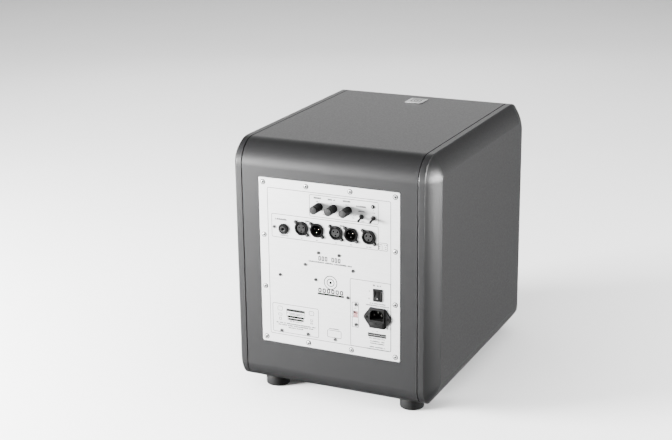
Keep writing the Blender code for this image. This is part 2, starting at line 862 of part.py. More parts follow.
def toggle_pivot(x):
    return Vector((x, PLATE_FACE - 0.5 * MM, PLATE_Z + TOGGLE_ROW))


def build_toggle_levers(materials):
    """Bat levers, each on a pivot inside its bush, resting in the lower position."""
    for name, x in TOGGLES:
        pivot = toggle_pivot(x)
        profile = [
            (0, -1.9 * MM),
            (1.2 * MM, -1.6 * MM),
            (1.2 * MM, 3.4 * MM),
            (1.5 * MM, 7.0 * MM),
            (2.0 * MM, TOGGLE_LENGTH - 1.6 * MM),
            (1.4 * MM, TOGGLE_LENGTH - 0.4 * MM),
            (0, TOGGLE_LENGTH),
        ]
        bm = bmesh.new()
        lathe(bm, profile, (0.0, 0.0), 12)
        turn = Matrix.Translation(pivot) @ Matrix.Rotation(-TOGGLE_TILT, 4, "X")
        bmesh.ops.transform(bm, matrix=turn, verts=bm.verts)
        add_object(f"{name}_lever", bm, materials["steel"], pivot)


def xlr_flange(x, z):
    """Round flange with two screw ears, on the plate."""
    ear = 3.0 * MM
    outline = []
    for side, start in ((-1, 68), (1, 248)):
        outline += arc((x, z), XLR_RADIUS, start, start + 134, 10)
        centre = (x + side * XLR_EAR, z + side * XLR_EAR)
        outline += arc(centre, ear, start + 112, start + 202, 4)
    return outline


def build_xlr(name, x, female, materials):
    front = PLATE_FACE + 2.4 * MM
    body = [
        (0, PLATE_BACK - 22 * MM),
        (11.7 * MM, PLATE_BACK - 22 * MM),
        (11.7 * MM, PLATE_FACE + 1 * MM),
        (0, PLATE_FACE + 1 * MM),
    ]
    centre = (x, PLATE_Z + XLR_ROW)
    bm = bmesh.new()
    lathe(bm, body, centre, 16)
    socket = add_object(name, bm, materials["plastic"])
    flange = bmesh.new()
    prism(flange, xlr_flange(x, XLR_ROW), on_plate, PLATE_FACE + GAP, front)
    boolean(socket, add_cutter(f"{name}_flange", flange), "UNION")
    if female:
        cut = bmesh.new()
        groove = [
            (8.2 * MM, front - 10 * MM),
            (9.8 * MM, front - 10 * MM),
            (9.8 * MM, front + 2 * MM),
            (8.2 * MM, front + 2 * MM),
        ]
        lathe(cut, groove, centre, 16)
        for a, b in circle((x, XLR_ROW), 4.6 * MM, 3, -90):
            prism(cut, circle((a, b), 1.3 * MM, 8), on_plate, front - 9 * MM, front + 2 * MM)
        boolean(socket, add_cutter(f"{name}_cutter", cut))
        return
    cup = bmesh.new()
    hollow = [
        (0, front - 14 * MM),
        (9.8 * MM, front - 14 * MM),
        (9.8 * MM, front + 2 * MM),
        (0, front + 2 * MM),
    ]
    lathe(cup, hollow, centre, 16)
    boolean(socket, add_cutter(f"{name}_cutter", cup))
    for index, place in enumerate(circle((x, XLR_ROW), 4.6 * MM, 3, -90)):
        pin = bmesh.new()
        prism(pin, circle(place, 1.2 * MM, 8), on_plate, front - 16 * MM, front - 2 * MM)
        boolean(socket, add_cutter(f"{name}_pin_{index + 1}", pin), "UNION")


def build_jack(materials):
    """6.35 mm jack: plastic body behind the plate, threaded sleeve and a ribbed nut."""
    face = PLATE_FACE + GAP
    bore = 3.3 * MM
    profile = [
        (bore, face + 4.0 * MM),
        (5.4 * MM, face + 4.0 * MM),
        (5.4 * MM, face + 3.0 * MM),
        (9.0 * MM, face + 3.0 * MM),
        (9.8 * MM, face + 2.2 * MM),
        (9.8 * MM, face),
        (5.9 * MM, face),
        (5.9 * MM, PLATE_BACK - GAP),
        (9.0 * MM, PLATE_BACK - GAP),
        (9.0 * MM, PLATE_BACK - 26 * MM),
        (0, PLATE_BACK - 26 * MM),
        (0, PLATE_BACK - 24.5 * MM),
        (bore, PLATE_BACK - 24.5 * MM),
    ]
    centre = (JACK_AT[0], PLATE_Z + JACK_AT[1])
    turned("jack_socket", profile, centre, 16, materials["plastic"])


def rocker_axis():
    return Vector((ROCKER_AT[0], PLATE_FACE - 1.0 * MM, PLATE_Z + ROCKER_AT[1]))


def build_rocker(materials):
    """Mains switch: a bezel with a rocking paddle on a cross pin."""
    width, height = ROCKER_SIZE
    face = PLATE_FACE + GAP
    bm = bmesh.new()
    prism(bm, rounded_rectangle(ROCKER_AT, width, height, 1 * MM, 2), on_plate, face, face + 2 * MM)
    frame = add_object("rocker_frame", bm, materials["plastic"])
    body = bmesh.new()
    neck = rectangle(ROCKER_AT, 13.0 * MM, 19.4 * MM)
    prism(body, neck, on_plate, PLATE_BACK - 18 * MM, face + 1 * MM)
    boolean(frame, add_cutter("rocker_body", body), "UNION")
    well = bmesh.new()
    mouth = rectangle(ROCKER_AT, 11.0 * MM, 17.4 * MM)
    prism(well, mouth, on_plate, PLATE_FACE - 10 * MM, face + 5 * MM)
    boolean(frame, add_cutter("rocker_well", well))

    axis = rocker_axis()
    bm = bmesh.new()
    outline = [
        (-5.6 * MM, -6.4 * MM),
        (5.6 * MM, -6.4 * MM),
        (8.2 * MM, 1.4 * MM),
        (8.1 * MM, 2.2 * MM),
        (0.0, 3.2 * MM),
        (-7.5 * MM, 3.9 * MM),
        (-8.0 * MM, 3.0 * MM),
    ]
    prism(bm, outline, lambda a, b, depth: (depth, b, a), -5.2 * MM, 5.2 * MM)
    bmesh.ops.translate(bm, verts=bm.verts, vec=axis)
    add_object("rocker_paddle", bm, materials["plastic"], axis)


def inlet_outline():
    """Six-sided mounting flange of the mains inlet."""
    x, z = INLET_AT
    half = INLET_BLOCK[0] / 2
    high = INLET_BLOCK[1] / 2
    wide = INLET_HALF_WIDTH
    tip = 1.5 * MM
    return [
        (x - half, z - high),
        (x + half, z - high),
        (x + wide, z - tip),
        (x + wide, z + tip),
        (x + half, z + high),
        (x - half, z + high),
        (x - wide, z + tip),
        (x - wide, z - tip),
    ]


def inlet_mouth():
    """Opening for the mains lead's connector, with two cut upper corners."""
    x, z = INLET_AT
    half = 12.9 * MM
    low = z - 3.6 * MM
    high = z + 15.0 * MM
    cut = 5.2 * MM
    return [
        (x - half, low),
        (x + half, low),
        (x + half, high - cut),
        (x + half - cut, high),
        (x - half + cut, high),
        (x - half, high - cut),
    ]


def drawer_slot(grow=0.0):
    x, z = INLET_AT
    return rectangle((x, z - 12.0 * MM), 24.0 * MM + grow, 9.0 * MM + grow)


def build_inlet(materials):
    face = PLATE_FACE + GAP
    front = face + 5.0 * MM
    bm = bmesh.new()
    prism(bm, inlet_outline(), on_plate, face, face + 2.6 * MM)
    inlet = add_object("mains_inlet", bm, materials["plastic"])
    block = bmesh.new()
    prism(block, rounded_rectangle(INLET_AT, *INLET_BLOCK, 1.2 * MM, 2), on_plate, face + 1 * MM, front)
    boolean(inlet, add_cutter("inlet_block", block), "UNION")
    body = bmesh.new()
    neck = rectangle(INLET_AT, 26.8 * MM, 35.0 * MM)
    prism(body, neck, on_plate, PLATE_BACK - 24 * MM, face + 1.5 * MM)
    boolean(inlet, add_cutter("inlet_body", body), "UNION")
    mouth = bmesh.new()
    prism(mouth, inlet_mouth(), on_plate, front - 17 * MM, front + 3 * MM)
    boolean(inlet, add_cutter("inlet_mouth", mouth))
    slot = bmesh.new()
    prism(slot, drawer_slot(2 * GAP), on_plate, front - 26 * MM, front + 3 * MM)
    boolean(inlet, add_cutter("inlet_drawer_slot", slot))
    x, z = INLET_AT
    for index, (shift, rise) in enumerate(((-7.1, 4.3), (7.1, 4.3), (0.0, 8.4))):
        blade = bmesh.new()
        place = (x + shift * MM, z + rise * MM)
        prism(blade, rectangle(place, 2.0 * MM, 4.0 * MM), on_plate, front - 19 * MM, front - 2 * MM)
        boolean(inlet, add_cutter(f"inlet_blade_{index + 1}", blade), "UNION")


def build_fuse_drawer(materials):
    """Drawer below the inlet's mouth; it pulls straight out."""
    front = PLATE_FACE + GAP + 5.0 * MM
    bm = bmesh.new()
    prism(bm, drawer_slot(), on_plate, front - 25 * MM, front + 0.8 * MM)
    x, z = INLET_AT
    origin = (x, front, PLATE_Z + z - 12.0 * MM)
    add_object("fuse_drawer", bm, materials["plastic"], origin)


def build_voltage_slider(materials):
    """Selector nib in the plate's slot, on a wide tongue behind the plate."""
    x, z = SELECTOR_AT
    width, height = SELECTOR_SLOT
    nib_height = height - SELECTOR_TRAVEL - 0.8 * MM
    low = z - height / 2 + 0.4 * MM
    back = PLATE_BACK - GAP
    bm = bmesh.new()
    middle = (x, low + nib_height / 2)
    outline = rectangle(middle, width + 4 * MM, nib_height + 8 * MM)
    prism(bm, outline, on_plate, back - 1.6 * MM, back)
    origin = (x, PLATE_FACE, PLATE_Z + middle[1])
    slider = add_object("voltage_slider", bm, materials["slider"], origin)
    nib = bmesh.new()
    nib_outline = rectangle(middle, width - 0.8 * MM, nib_height)
    prism(nib, nib_outline, on_plate, back - 1 * MM, PLATE_FACE - 0.4 * MM)
    boolean(slider, add_cutter("voltage_slider_nib", nib), "UNION")


# ---------------------------------------------------------------- assembly


def build_cabinet(materials):
    build_wrap(materials)
    build_side_panel("side_panel_left", -1, materials)
    build_side_panel("side_panel_right", 1, materials)
    build_port_shelf(materials)
    build_feet(materials)
    build_badge(materials)


def build_driver(materials):
    build_trim_ring(materials)
    build_basket(materials)
    build_driver_screws(materials)
    build_surround(materials)
    build_cone(materials)
    build_dust_cap(materials)
    build_voice_coil(materials)
    build_spider(materials)
    build_magnet(materials)


def build_amplifier(materials):
    build_amp_plate(materials)
    build_plate_screws(materials)
    build_amp_chassis(materials)
    build_circuit_board(materials)
    build_transformer(materials)
    build_knobs(materials)
    build_toggle_block(materials)
    build_toggle_levers(materials)
    for name, x, female in XLR_SOCKETS:
        build_xlr(name, x, female, materials)
    build_jack(materials)
    build_rocker(materials)
    build_inlet(materials)
    build_fuse_drawer(materials)
    build_voltage_slider(materials)


def main():
    clear_scene()
    materials = make_materials()
    build_cabinet(materials)
    build_driver(materials)
    build_amplifier(materials)


main()
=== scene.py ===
"""The looks of the powered subwoofer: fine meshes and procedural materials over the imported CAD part."""

import math
import random

import bmesh
import bpy
from mathutils import Matrix, Vector
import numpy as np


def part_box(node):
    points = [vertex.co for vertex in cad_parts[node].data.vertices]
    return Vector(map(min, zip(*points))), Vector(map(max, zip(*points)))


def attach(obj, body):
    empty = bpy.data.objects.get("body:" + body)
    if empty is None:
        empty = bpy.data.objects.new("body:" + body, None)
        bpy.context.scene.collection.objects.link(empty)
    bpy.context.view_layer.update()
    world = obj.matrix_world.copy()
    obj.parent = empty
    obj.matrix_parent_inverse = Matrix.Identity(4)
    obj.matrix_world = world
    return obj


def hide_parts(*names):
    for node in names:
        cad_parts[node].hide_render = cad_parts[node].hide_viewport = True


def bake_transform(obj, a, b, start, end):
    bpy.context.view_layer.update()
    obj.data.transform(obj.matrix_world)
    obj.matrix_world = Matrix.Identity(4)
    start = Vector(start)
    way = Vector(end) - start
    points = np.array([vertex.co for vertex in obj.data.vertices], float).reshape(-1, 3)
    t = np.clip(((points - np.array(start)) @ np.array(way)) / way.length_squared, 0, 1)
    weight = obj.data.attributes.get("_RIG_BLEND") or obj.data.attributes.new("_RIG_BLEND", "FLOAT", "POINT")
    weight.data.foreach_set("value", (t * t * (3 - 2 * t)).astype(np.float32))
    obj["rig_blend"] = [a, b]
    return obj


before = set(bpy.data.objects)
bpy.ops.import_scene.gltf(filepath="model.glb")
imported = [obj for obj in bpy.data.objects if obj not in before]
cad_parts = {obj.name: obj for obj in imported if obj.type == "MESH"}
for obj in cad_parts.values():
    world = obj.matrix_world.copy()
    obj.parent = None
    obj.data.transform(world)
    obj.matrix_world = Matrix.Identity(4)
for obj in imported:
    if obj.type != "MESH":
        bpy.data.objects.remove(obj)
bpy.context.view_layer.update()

MM = 0.001
WRAP_LOW, WRAP_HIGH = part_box("cabinet_wrap")
FRONT, REAR = WRAP_LOW.y, WRAP_HIGH.y
BOTTOM, TOP = WRAP_LOW.z, WRAP_HIGH.z
WRAP_HALF = WRAP_HIGH.x
PLATE_LOW, PLATE_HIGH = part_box("amp_plate")
PLATE_FACE = PLATE_HIGH.y
PLATE_Z = (PLATE_LOW.z + PLATE_HIGH.z) / 2
SHELF_LOW, SHELF_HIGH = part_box("port_shelf")
TRIM_LOW, TRIM_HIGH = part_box("driver_trim_ring")
DRIVER_Z = (TRIM_LOW.z + TRIM_HIGH.z) / 2
WALL = 20 * MM
RADIUS_FRONT_TOP = 56 * MM
RADIUS_REAR_TOP = 45 * MM
RADIUS_REAR_BOTTOM = 34 * MM
RADIUS_FRONT_BOTTOM = 18 * MM


# ---------------------------------------------------------------- materials


class Shader:
    """A Principled material with helpers that add procedural detail; a single number is a grey."""

    def __init__(self, name, colour, roughness, metallic=0.0, specular=0.5):
        self.material = bpy.data.materials.new(name)
        self.material.use_nodes = True
        self.tree = self.material.node_tree
        self.bsdf = self.tree.nodes["Principled BSDF"]
        self.colour = colour if isinstance(colour, tuple) else (colour, colour, colour)
        self.roughness = roughness
        self.bsdf.inputs["Base Color"].default_value = (*self.colour, 1.0)
        self.bsdf.inputs["Roughness"].default_value = roughness
        self.bsdf.inputs["Metallic"].default_value = metallic
        self.bsdf.inputs["Specular IOR Level"].default_value = specular
        self.place = self.tree.nodes.new("ShaderNodeTexCoord")

    def noise(self, scale, detail, stretch):
        mapping = self.tree.nodes.new("ShaderNodeMapping")
        mapping.inputs["Scale"].default_value = stretch
        texture = self.tree.nodes.new("ShaderNodeTexNoise")
        texture.inputs["Scale"].default_value = scale
        texture.inputs["Detail"].default_value = detail
        self.tree.links.new(self.place.outputs["Object"], mapping.inputs["Vector"])
        self.tree.links.new(mapping.outputs["Vector"], texture.inputs["Vector"])
        return texture.outputs["Fac"]

    def ramp(self, value, low, high):
        """The middle of a noise's range spread from low to high."""
        ramp = self.tree.nodes.new("ShaderNodeMapRange")
        for name, level in (("From Min", 0.3), ("From Max", 0.7), ("To Min", low), ("To Max", high)):
            ramp.inputs[name].default_value = level
        self.tree.links.new(value, ramp.inputs["Value"])
        return ramp.outputs["Result"]

    def mottle(self, scale, amount, detail=2.0, stretch=(1.0, 1.0, 1.0)):
        """Base colour times 1 - amount to 1 + amount."""
        factor = self.ramp(self.noise(scale, detail, stretch), 1 - amount, 1 + amount)
        mixed = self.tree.nodes.new("ShaderNodeVectorMath")
        mixed.operation = "SCALE"
        before = self.bsdf.inputs["Base Color"]
        if before.is_linked:
            self.tree.links.new(before.links[0].from_socket, mixed.inputs[0])
        else:
            mixed.inputs[0].default_value = self.colour
        self.tree.links.new(factor, mixed.inputs["Scale"])
        self.tree.links.new(mixed.outputs[0], before)
        return self

    def rub(self, scale, amount, detail=2.0, stretch=(1.0, 1.0, 1.0)):
        """Roughness plus or minus amount."""
        low, high = self.roughness - amount, self.roughness + amount
        value = self.ramp(self.noise(scale, detail, stretch), low, high)
        self.tree.links.new(value, self.bsdf.inputs["Roughness"])
        return self

    def bump(self, scale, depth, detail=2.0, stretch=(1.0, 1.0, 1.0)):
        """A relief of that depth in metres."""
        node = self.tree.nodes.new("ShaderNodeBump")
        node.inputs["Distance"].default_value = depth
        node.inputs["Strength"].default_value = 1.0
        self.tree.links.new(self.noise(scale, detail, stretch), node.inputs["Height"])
        self.tree.links.new(node.outputs["Normal"], self.bsdf.inputs["Normal"])
        return self

    def coat(self, weight, roughness):
        self.bsdf.inputs["Coat Weight"].default_value = weight
        self.bsdf.inputs["Coat Roughness"].default_value = roughness
        return self


def make_materials():
    paint = Shader("satin_paint", (0.0075, 0.0075, 0.0077), 0.36, 0.0, 0.3)
    plate = Shader("brushed_plate", 0.42, 0.36, 0.4).mottle(90, 0.06, 3.0, (0.6, 1.0, 14.0))
    brushed = (3.0, (0.5, 1.0, 16.0))
    made = {
        "paint": paint.mottle(700, 0.12).mottle(3, 0.03).rub(300, 0.04).bump(900, 0.00005),
        "inner": Shader("inner_black", 0.012, 0.75).mottle(60, 0.3).bump(400, 0.0001),
        "gasket": Shader("gasket_rubber", 0.02, 0.5).mottle(200, 0.2).bump(700, 0.00004),
        "roll": Shader("roll_rubber", (0.035, 0.035, 0.036), 0.38)
        .mottle(150, 0.12).rub(60, 0.04).bump(1200, 0.00003),
        "cast": Shader("cast_flange", 0.022, 0.34).mottle(500, 0.2).bump(900, 0.00003),
        "cone": Shader("speckled_cone", 0.11, 0.48)
        .mottle(650, 0.55, 1.0).mottle(220, 0.2).bump(700, 0.00012),
        "dome": Shader("satin_dome", 0.012, 0.30).rub(40, 0.03).bump(500, 0.00001),
        "bead": Shader("glue_bead", 0.006, 0.3).mottle(90, 0.2).bump(160, 0.00006),
        "edge": Shader("lip_edge", 0.26, 0.45).mottle(300, 0.15),
        "plate": plate.rub(120, 0.05, *brushed).bump(160, 0.00001, *brushed),
        # Print ink for the plate and badge marks; also the painted shade in the rings round the plate screws
        # and at the bottom of their sockets.
        "ink": Shader("print_ink_and_painted_shade", 0.012, 0.7, 0.0, 0.0).mottle(400, 0.2),
        "pale": Shader("pale_ink", 0.045, 0.7, 0.0, 0.0).mottle(400, 0.1),
        "plastic": Shader("black_plastic", 0.006, 0.45, 0.0, 0.05).rub(200, 0.05).bump(900, 0.00002),
        "grey": Shader("insert_grey", 0.013, 0.6, 0.0, 0.0).mottle(300, 0.1).bump(900, 0.00002),
        "knob": Shader("knob_black", 0.003, 0.42, 0.0, 0.03).rub(150, 0.05).bump(800, 0.00002),
        "cap": Shader("knob_cap", 0.016, 0.5, 0.0, 0.02).mottle(300, 0.08).bump(500, 0.00001),
        "lever": Shader("dark_lever", 0.03, 0.3, 0.5, 0.3).rub(120, 0.05),
        "nickel": Shader("nickel_screw", 0.45, 0.42, 0.5).rub(200, 0.06).mottle(90, 0.05),
        "screw": Shader("black_screw", 0.03, 0.4, 0.0, 0.1).rub(200, 0.06),
        "gold": Shader("pin_metal", (0.55, 0.54, 0.50), 0.2, 1.0).rub(150, 0.05),
        "badge": Shader("badge_metal", 0.55, 0.32, 0.9).rub(120, 0.05, 2.0, (0.3, 8.0, 1.0)),
        "slider": Shader("selector_pink", (0.20, 0.11, 0.11), 0.6, 0.0, 0.0).mottle(200, 0.06),
        "lamp": Shader("lamp_lens", 0.02, 0.12).mottle(50, 0.1).coat(0.6, 0.05),
        "foot": Shader("foot_rubber", 0.006, 0.55, 0.0, 0.05).mottle(120, 0.2).bump(500, 0.00005),
        "copper": Shader("winding_wire", (0.62, 0.27, 0.11), 0.35, 0.9)
        .mottle(50, 0.12, 2.0, (1.0, 20.0, 1.0)),
        "tape": Shader("winding_tape", (0.55, 0.42, 0.06), 0.35).mottle(60, 0.1).bump(90, 0.0001),
        "ferrite": Shader("ferrite", (0.045, 0.045, 0.047), 0.65).mottle(80, 0.25).bump(300, 0.0001),
        "steel": Shader("plated_steel", (0.52, 0.52, 0.50), 0.34, 1.0).mottle(25, 0.1).rub(60, 0.08),
        "cloth": Shader("spider_cloth", (0.55, 0.38, 0.14), 0.85).mottle(500, 0.3).bump(700, 0.0002),
        "circuit": Shader("circuit_lacquer", (0.02, 0.12, 0.05), 0.35)
        .mottle(60, 0.35, 4.0).coat(0.3, 0.2),
    }
    return {name: shader.material for name, shader in made.items()}


M = make_materials()

# ---------------------------------------------------------------- mesh helpers


def circle(centre, radius, steps, turn=0.0):
    points = []
    for step in range(steps):
        angle = math.radians(turn) + 2 * math.pi * step / steps
        points.append((centre[0] + radius * math.cos(angle), centre[1] + radius * math.sin(angle)))
    return points


def arc(centre, radius, start, end, steps):
    points = []
    for step in range(steps + 1):
        angle = math.radians(start + (end - start) * step / steps)
        points.append((centre[0] + radius * math.cos(angle), centre[1] + radius * math.sin(angle)))
    return points


def rectangle(centre, width, height):
    a, b = centre[0] - width / 2, centre[1] - height / 2
    return [(a, b), (a + width, b), (a + width, b + height), (a, b + height)]


def rounded(centre, width, height, radius, steps=6):
    right, left = centre[0] + width / 2 - radius, centre[0] - width / 2 + radius
    high, low = centre[1] + height / 2 - radius, centre[1] - height / 2 + radius
    points = []
    for turn, corner in enumerate(((right, low), (right, high), (left, high), (left, low))):
        points += arc(corner, radius, 90 * turn - 90, 90 * turn, steps)
    return points


def bridge(bm, ring, following):
    count = len(ring)
    for index in range(count):
        after = (index + 1) % count
        bm.faces.new((ring[index], ring[after], following[after], following[index]))


def loft(bm, sections, ends=True):
    """Skins closed rings of points."""
    rings = [[bm.verts.new(point) for point in section] for section in sections]
    for ring, following in zip(rings, rings[1:]):
        bridge(bm, ring, following)
    if ends:
        bm.faces.new(rings[0])
        bm.faces.new(rings[-1])
    return rings


def on_plate(a, b, depth):
    """A place in millimetres from the middle of the plate's face."""
    return Vector((a * MM, PLATE_FACE + depth * MM, PLATE_Z + b * MM))


def slab(outline, start, end, bm=None, to_world=on_plate):
    """An outline extruded along the plate's normal, or as to_world says."""
    bm = bm or bmesh.new()
    loft(bm, [[to_world(a, b, depth) for a, b in outline] for depth in (start, end)])
    return bm


def lathe(bm, profile, centre, steps, closed):
    """Turns (radius, y) points about the Y axis through centre, an (x, z) point."""
    rings = []
    for radius, depth in profile:
        ring = circle(centre, radius, steps) if radius > 0 else [centre]
        rings.append([bm.verts.new((a, depth, b)) for a, b in ring])
    pairs = list(zip(rings, rings[1:]))
    if closed:
        pairs.append((rings[-1], rings[0]))
    for ring, following in pairs:
        if len(ring) == len(following) == 1:
            continue
        if 1 not in (len(ring), len(following)):
            bridge(bm, ring, following)
            continue
        tip, rim = (ring, following) if len(ring) == 1 else (following, ring)
        for place in range(steps):
            bm.faces.new((tip[0], rim[place], rim[(place + 1) % steps]))


def turned(profile, spot, steps, closed=True, bm=None):
    """A lathed mesh on the plate; profile and spot are millimetres from its face and middle."""
    bm = bm or bmesh.new()
    points = [(radius * MM, PLATE_FACE + depth * MM) for radius, depth in profile]
    lathe(bm, points, (spot[0] * MM, PLATE_Z + spot[1] * MM), steps, closed)
    return bm


def spun(profile, steps=128, closed=True, spot=(0, 0), bm=None):
    """A lathed mesh on the driver's axis; depths are millimetres in from the cabinet's front."""
    bm = bm or bmesh.new()
    points = [(radius * MM, FRONT + depth * MM) for radius, depth in profile]
    lathe(bm, points, (spot[0] * MM, DRIVER_Z + spot[1] * MM), steps, closed)
    return bm


def spindle(profile, steps, matrix):
    """A lathed mesh about its own Y axis, in millimetres, then moved by a matrix."""
    bm = bmesh.new()
    lathe(bm, [(radius * MM, depth * MM) for radius, depth in profile], (0.0, 0.0), steps, False)
    bmesh.ops.transform(bm, matrix=matrix, verts=bm.verts)
    return bm


def bevel_edges(bm, edges, width, segments):
    bmesh.ops.bevel(
        bm, geom=edges, offset=width * MM, segments=segments, profile=0.5, affect="EDGES",
        clamp_overlap=True,
    )


def soften(bm, width, segments=2, above=40.0):
    """Rounds every edge sharper than an angle in degrees; width is in millimetres."""
    bmesh.ops.recalc_face_normals(bm, faces=bm.faces)
    limit = math.radians(above)
    sharp = [edge for edge in bm.edges if edge.is_manifold and edge.calc_face_angle(0.0) > limit]
    bevel_edges(bm, sharp, width, segments)


def make(name, bm, materials, node=None, body="cabinet", angle=32.0, flat=False):
    """A finished piece of the object, which replaces a CAD node or adds to one."""
    bmesh.ops.recalc_face_normals(bm, faces=bm.faces)
    mesh = bpy.data.meshes.new(name)
    bm.to_mesh(mesh)
    bm.free()
    for key in [materials] if isinstance(materials, str) else materials:
        mesh.materials.append(M[key])
    if not flat:
        mesh.shade_smooth()
        mesh.set_sharp_from_angle(angle=math.radians(angle))
    item = bpy.data.objects.new(name, mesh)
    bpy.context.scene.collection.objects.link(item)
    if body:
        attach(item, body)
    if node:
        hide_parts(node)
    return item


def carve(bm, cutters, operation="DIFFERENCE"):
    """Cuts, or joins, closed meshes and returns the result as a new mesh."""
    made = []
    for index, source in enumerate([bm] + cutters):
        bmesh.ops.recalc_face_normals(source, faces=source.faces)
        mesh = bpy.data.meshes.new(f"carve_{index}")
        source.to_mesh(mesh)
        source.free()
        item = bpy.data.objects.new(f"carve_{index}", mesh)
        bpy.context.scene.collection.objects.link(item)
        made.append(item)
    base = made[0]
    for cutter in made[1:]:
        modifier = base.modifiers.new("cut", "BOOLEAN")
        modifier.operation = operation
        modifier.solver = "EXACT"
        modifier.object = cutter
    shown = base.evaluated_get(bpy.context.evaluated_depsgraph_get())
    result = bmesh.new()
    result.from_mesh(shown.to_mesh())
    for item in made:
        bpy.data.meshes.remove(item.data)
    bmesh.ops.remove_doubles(result, verts=result.verts, dist=0.002 * MM)
    bmesh.ops.dissolve_degenerate(result, edges=result.edges, dist=0.002 * MM)
    return result


def weigh(item):
    """Keeps broad flat faces flat where they meet a rounded edge."""
    modifier = item.modifiers.new("weighted", "WEIGHTED_NORMAL")
    modifier.keep_sharp = True
    modifier.weight = 80


def span(node):
    """A node's middle and size on the plate and its two depths, in millimetres."""
    low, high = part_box(node)
    middle = ((low.x + high.x) / 2 / MM, ((low.z + high.z) / 2 - PLATE_Z) / MM)
    size = ((high.x - low.x) / MM, (high.z - low.z) / MM)
    return middle, size, (low.y - PLATE_FACE) / MM, (high.y - PLATE_FACE) / MM


PLATE_SIZE, BACK = span("amp_plate")[1:3]

# ---------------------------------------------------------------- cabinet

# Each corner of the wrap: y, z, radius, and the directions of its outer side.
CORNERS = (
    (REAR, BOTTOM, RADIUS_REAR_BOTTOM, 1, -1),
    (REAR, TOP, RADIUS_REAR_TOP, 1, 1),
    (FRONT, TOP, RADIUS_FRONT_TOP, -1, 1),
    (FRONT, BOTTOM, RADIUS_FRONT_BOTTOM, -1, -1),
)


def corner_arc(index, inset, start, end, steps):
    y, z, radius, sy, sz = CORNERS[index]
    return arc((y - sy * radius, z - sz * radius), radius - inset, start, end, steps)


def wrap_outline(steps=18):
    """(y, z) points round the wrap's open cross-section."""
    lip = RADIUS_FRONT_BOTTOM
    port_top = SHELF_LOW.z
    nose = 8 * MM
    points = corner_arc(3, 0, 90, 270, 2 * steps) + corner_arc(0, 0, -90, 0, steps)
    points += corner_arc(1, 0, 0, 90, steps) + corner_arc(2, 0, 90, 180, steps)
    points += arc((FRONT + nose, port_top + nose), nose, 180, 270, 8) + [(FRONT + WALL, port_top)]
    points += corner_arc(2, WALL, 180, 90, 8) + corner_arc(1, WALL, 90, 0, 8)
    return points + [(REAR - WALL, BOTTOM + 2 * lip)]


def build_wrap():
    points = wrap_outline()
    bm = bmesh.new()
    loft(bm, [[(x, y, z) for y, z in points] for x in (-WRAP_HALF, WRAP_HALF)])
    depth = (TRIM_HIGH.y - FRONT) / MM + 0.5
    behind = WALL / MM + 5
    driver = spun([(0, -5), (151.9, -5), (151.9, depth), (132.6, depth), (132.6, behind), (0, behind)])
    width, height = PLATE_SIZE
    rear = (REAR - PLATE_FACE) / MM
    rebate = slab(rounded((0, 0), width + 1.6, height + 1.6, 3.3), BACK - 0.3, rear + 5)
    hole = slab(rectangle((0, 0), width - 30, height - 30), rear - behind, rear - 1)
    bm = carve(bm, [driver, rebate, hole])
    skin = 1.2 * MM
    for face in bm.faces:
        at = face.calc_center_median()
        lip = at.y < FRONT + 40 * MM and at.z < SHELF_LOW.z + 12 * MM
        if abs(face.normal.x) < 0.9 and outside_distance(at.y, at.z) > skin and not lip:
            face.material_index = 1
    bmesh.ops.recalc_face_normals(bm, faces=bm.faces)
    rims = []
    for edge in bm.edges:
        if edge.is_manifold and edge.calc_face_angle(0.0) >= math.radians(50):
            if all(outside_distance(vert.co.y, vert.co.z) < 0.4 * MM for vert in edge.verts):
                rims.append(edge)
    bevel_edges(bm, rims, 0.5, 2)
    weigh(make("wrap_skin", bm, ["paint", "inner"], "cabinet_wrap"))


def outside_distance(y, z):
    """How deep a point lies under the wrap's rounded outline."""
    depth = min(y - FRONT, REAR - y, z - BOTTOM, TOP - z)
    for corner_y, corner_z, radius, sy, sz in CORNERS:
        dy, dz = y - corner_y + sy * radius, z - corner_z + sz * radius
        if dy * sy > 0 and dz * sz > 0:
            depth = min(depth, radius - math.hypot(dy, dz))
    return depth


def side_outline(inset, steps=18):
    points = []
    for turn, (y, z, radius, sy, sz) in enumerate(CORNERS):
        left = max(radius - inset, 1.5 * MM)
        centre = (y - sy * (inset + left), z - sz * (inset + left))
        points += arc(centre, left, 90 * turn - 90, 90 * turn, steps)
    return points


def bevel_curve(steps=16):
    """(x, inset) points of the crowned bevel, which turns from steep to shallow."""
    edge_x, edge_inset, inset_end = 179.5, 1.6, 36.6
    first, last = math.radians(40.0), math.radians(14.4)
    turn = first - last
    length = (inset_end - edge_inset) * turn / (math.sin(first) - math.sin(last))
    points = []
    for step in range(steps + 1):
        tilt = first - turn * step / steps
        inset = edge_inset + length * (math.sin(first) - math.sin(tilt)) / turn
        points.append((edge_x + length * (math.cos(tilt) - math.cos(first)) / turn, inset))
    return points


def build_side(name, node, side):
    """One crowned side panel: seam groove, band, small step, wide bevel and flat field."""
    groove, run = 3, 0.9
    sections = [(WRAP_HALF / MM + 0.3, groove), (168.1, groove), (168.1, 0.7), (168.2, 0.3)]
    sections += [(168.5, 0.08), (168.9, 0), (178.2, 0), (178.7, 0.1), (179.0, 0.4), (179.15, 0.9)]
    curve = bevel_curve()
    crease_x, crease_inset = curve[-1]
    back_x = crease_x - run * math.tan(math.radians(14.4))
    sections += curve[:-1] + [(back_x, crease_inset - run), (crease_x - 0.06, crease_inset)]
    sections += [(crease_x, crease_inset + run), (crease_x, crease_inset + 3 * run)]
    bm = bmesh.new()
    loft(bm, [[(side * x * MM, y, z) for y, z in side_outline(inset * MM)] for x, inset in sections])
    weigh(make(name, bm, "paint", node, angle=28))


def build_shelf():
    low, high = SHELF_LOW, SHELF_HIGH
    outline = [(low.y, low.z), (high.y, low.z), (high.y, high.z), (low.y, high.z)]
    bm = slab(outline, low.x, high.x, to_world=lambda a, b, depth: Vector((depth, a, b)))
    soften(bm, 1.5, 3)
    make("shelf_board", bm, "inner", "port_shelf")


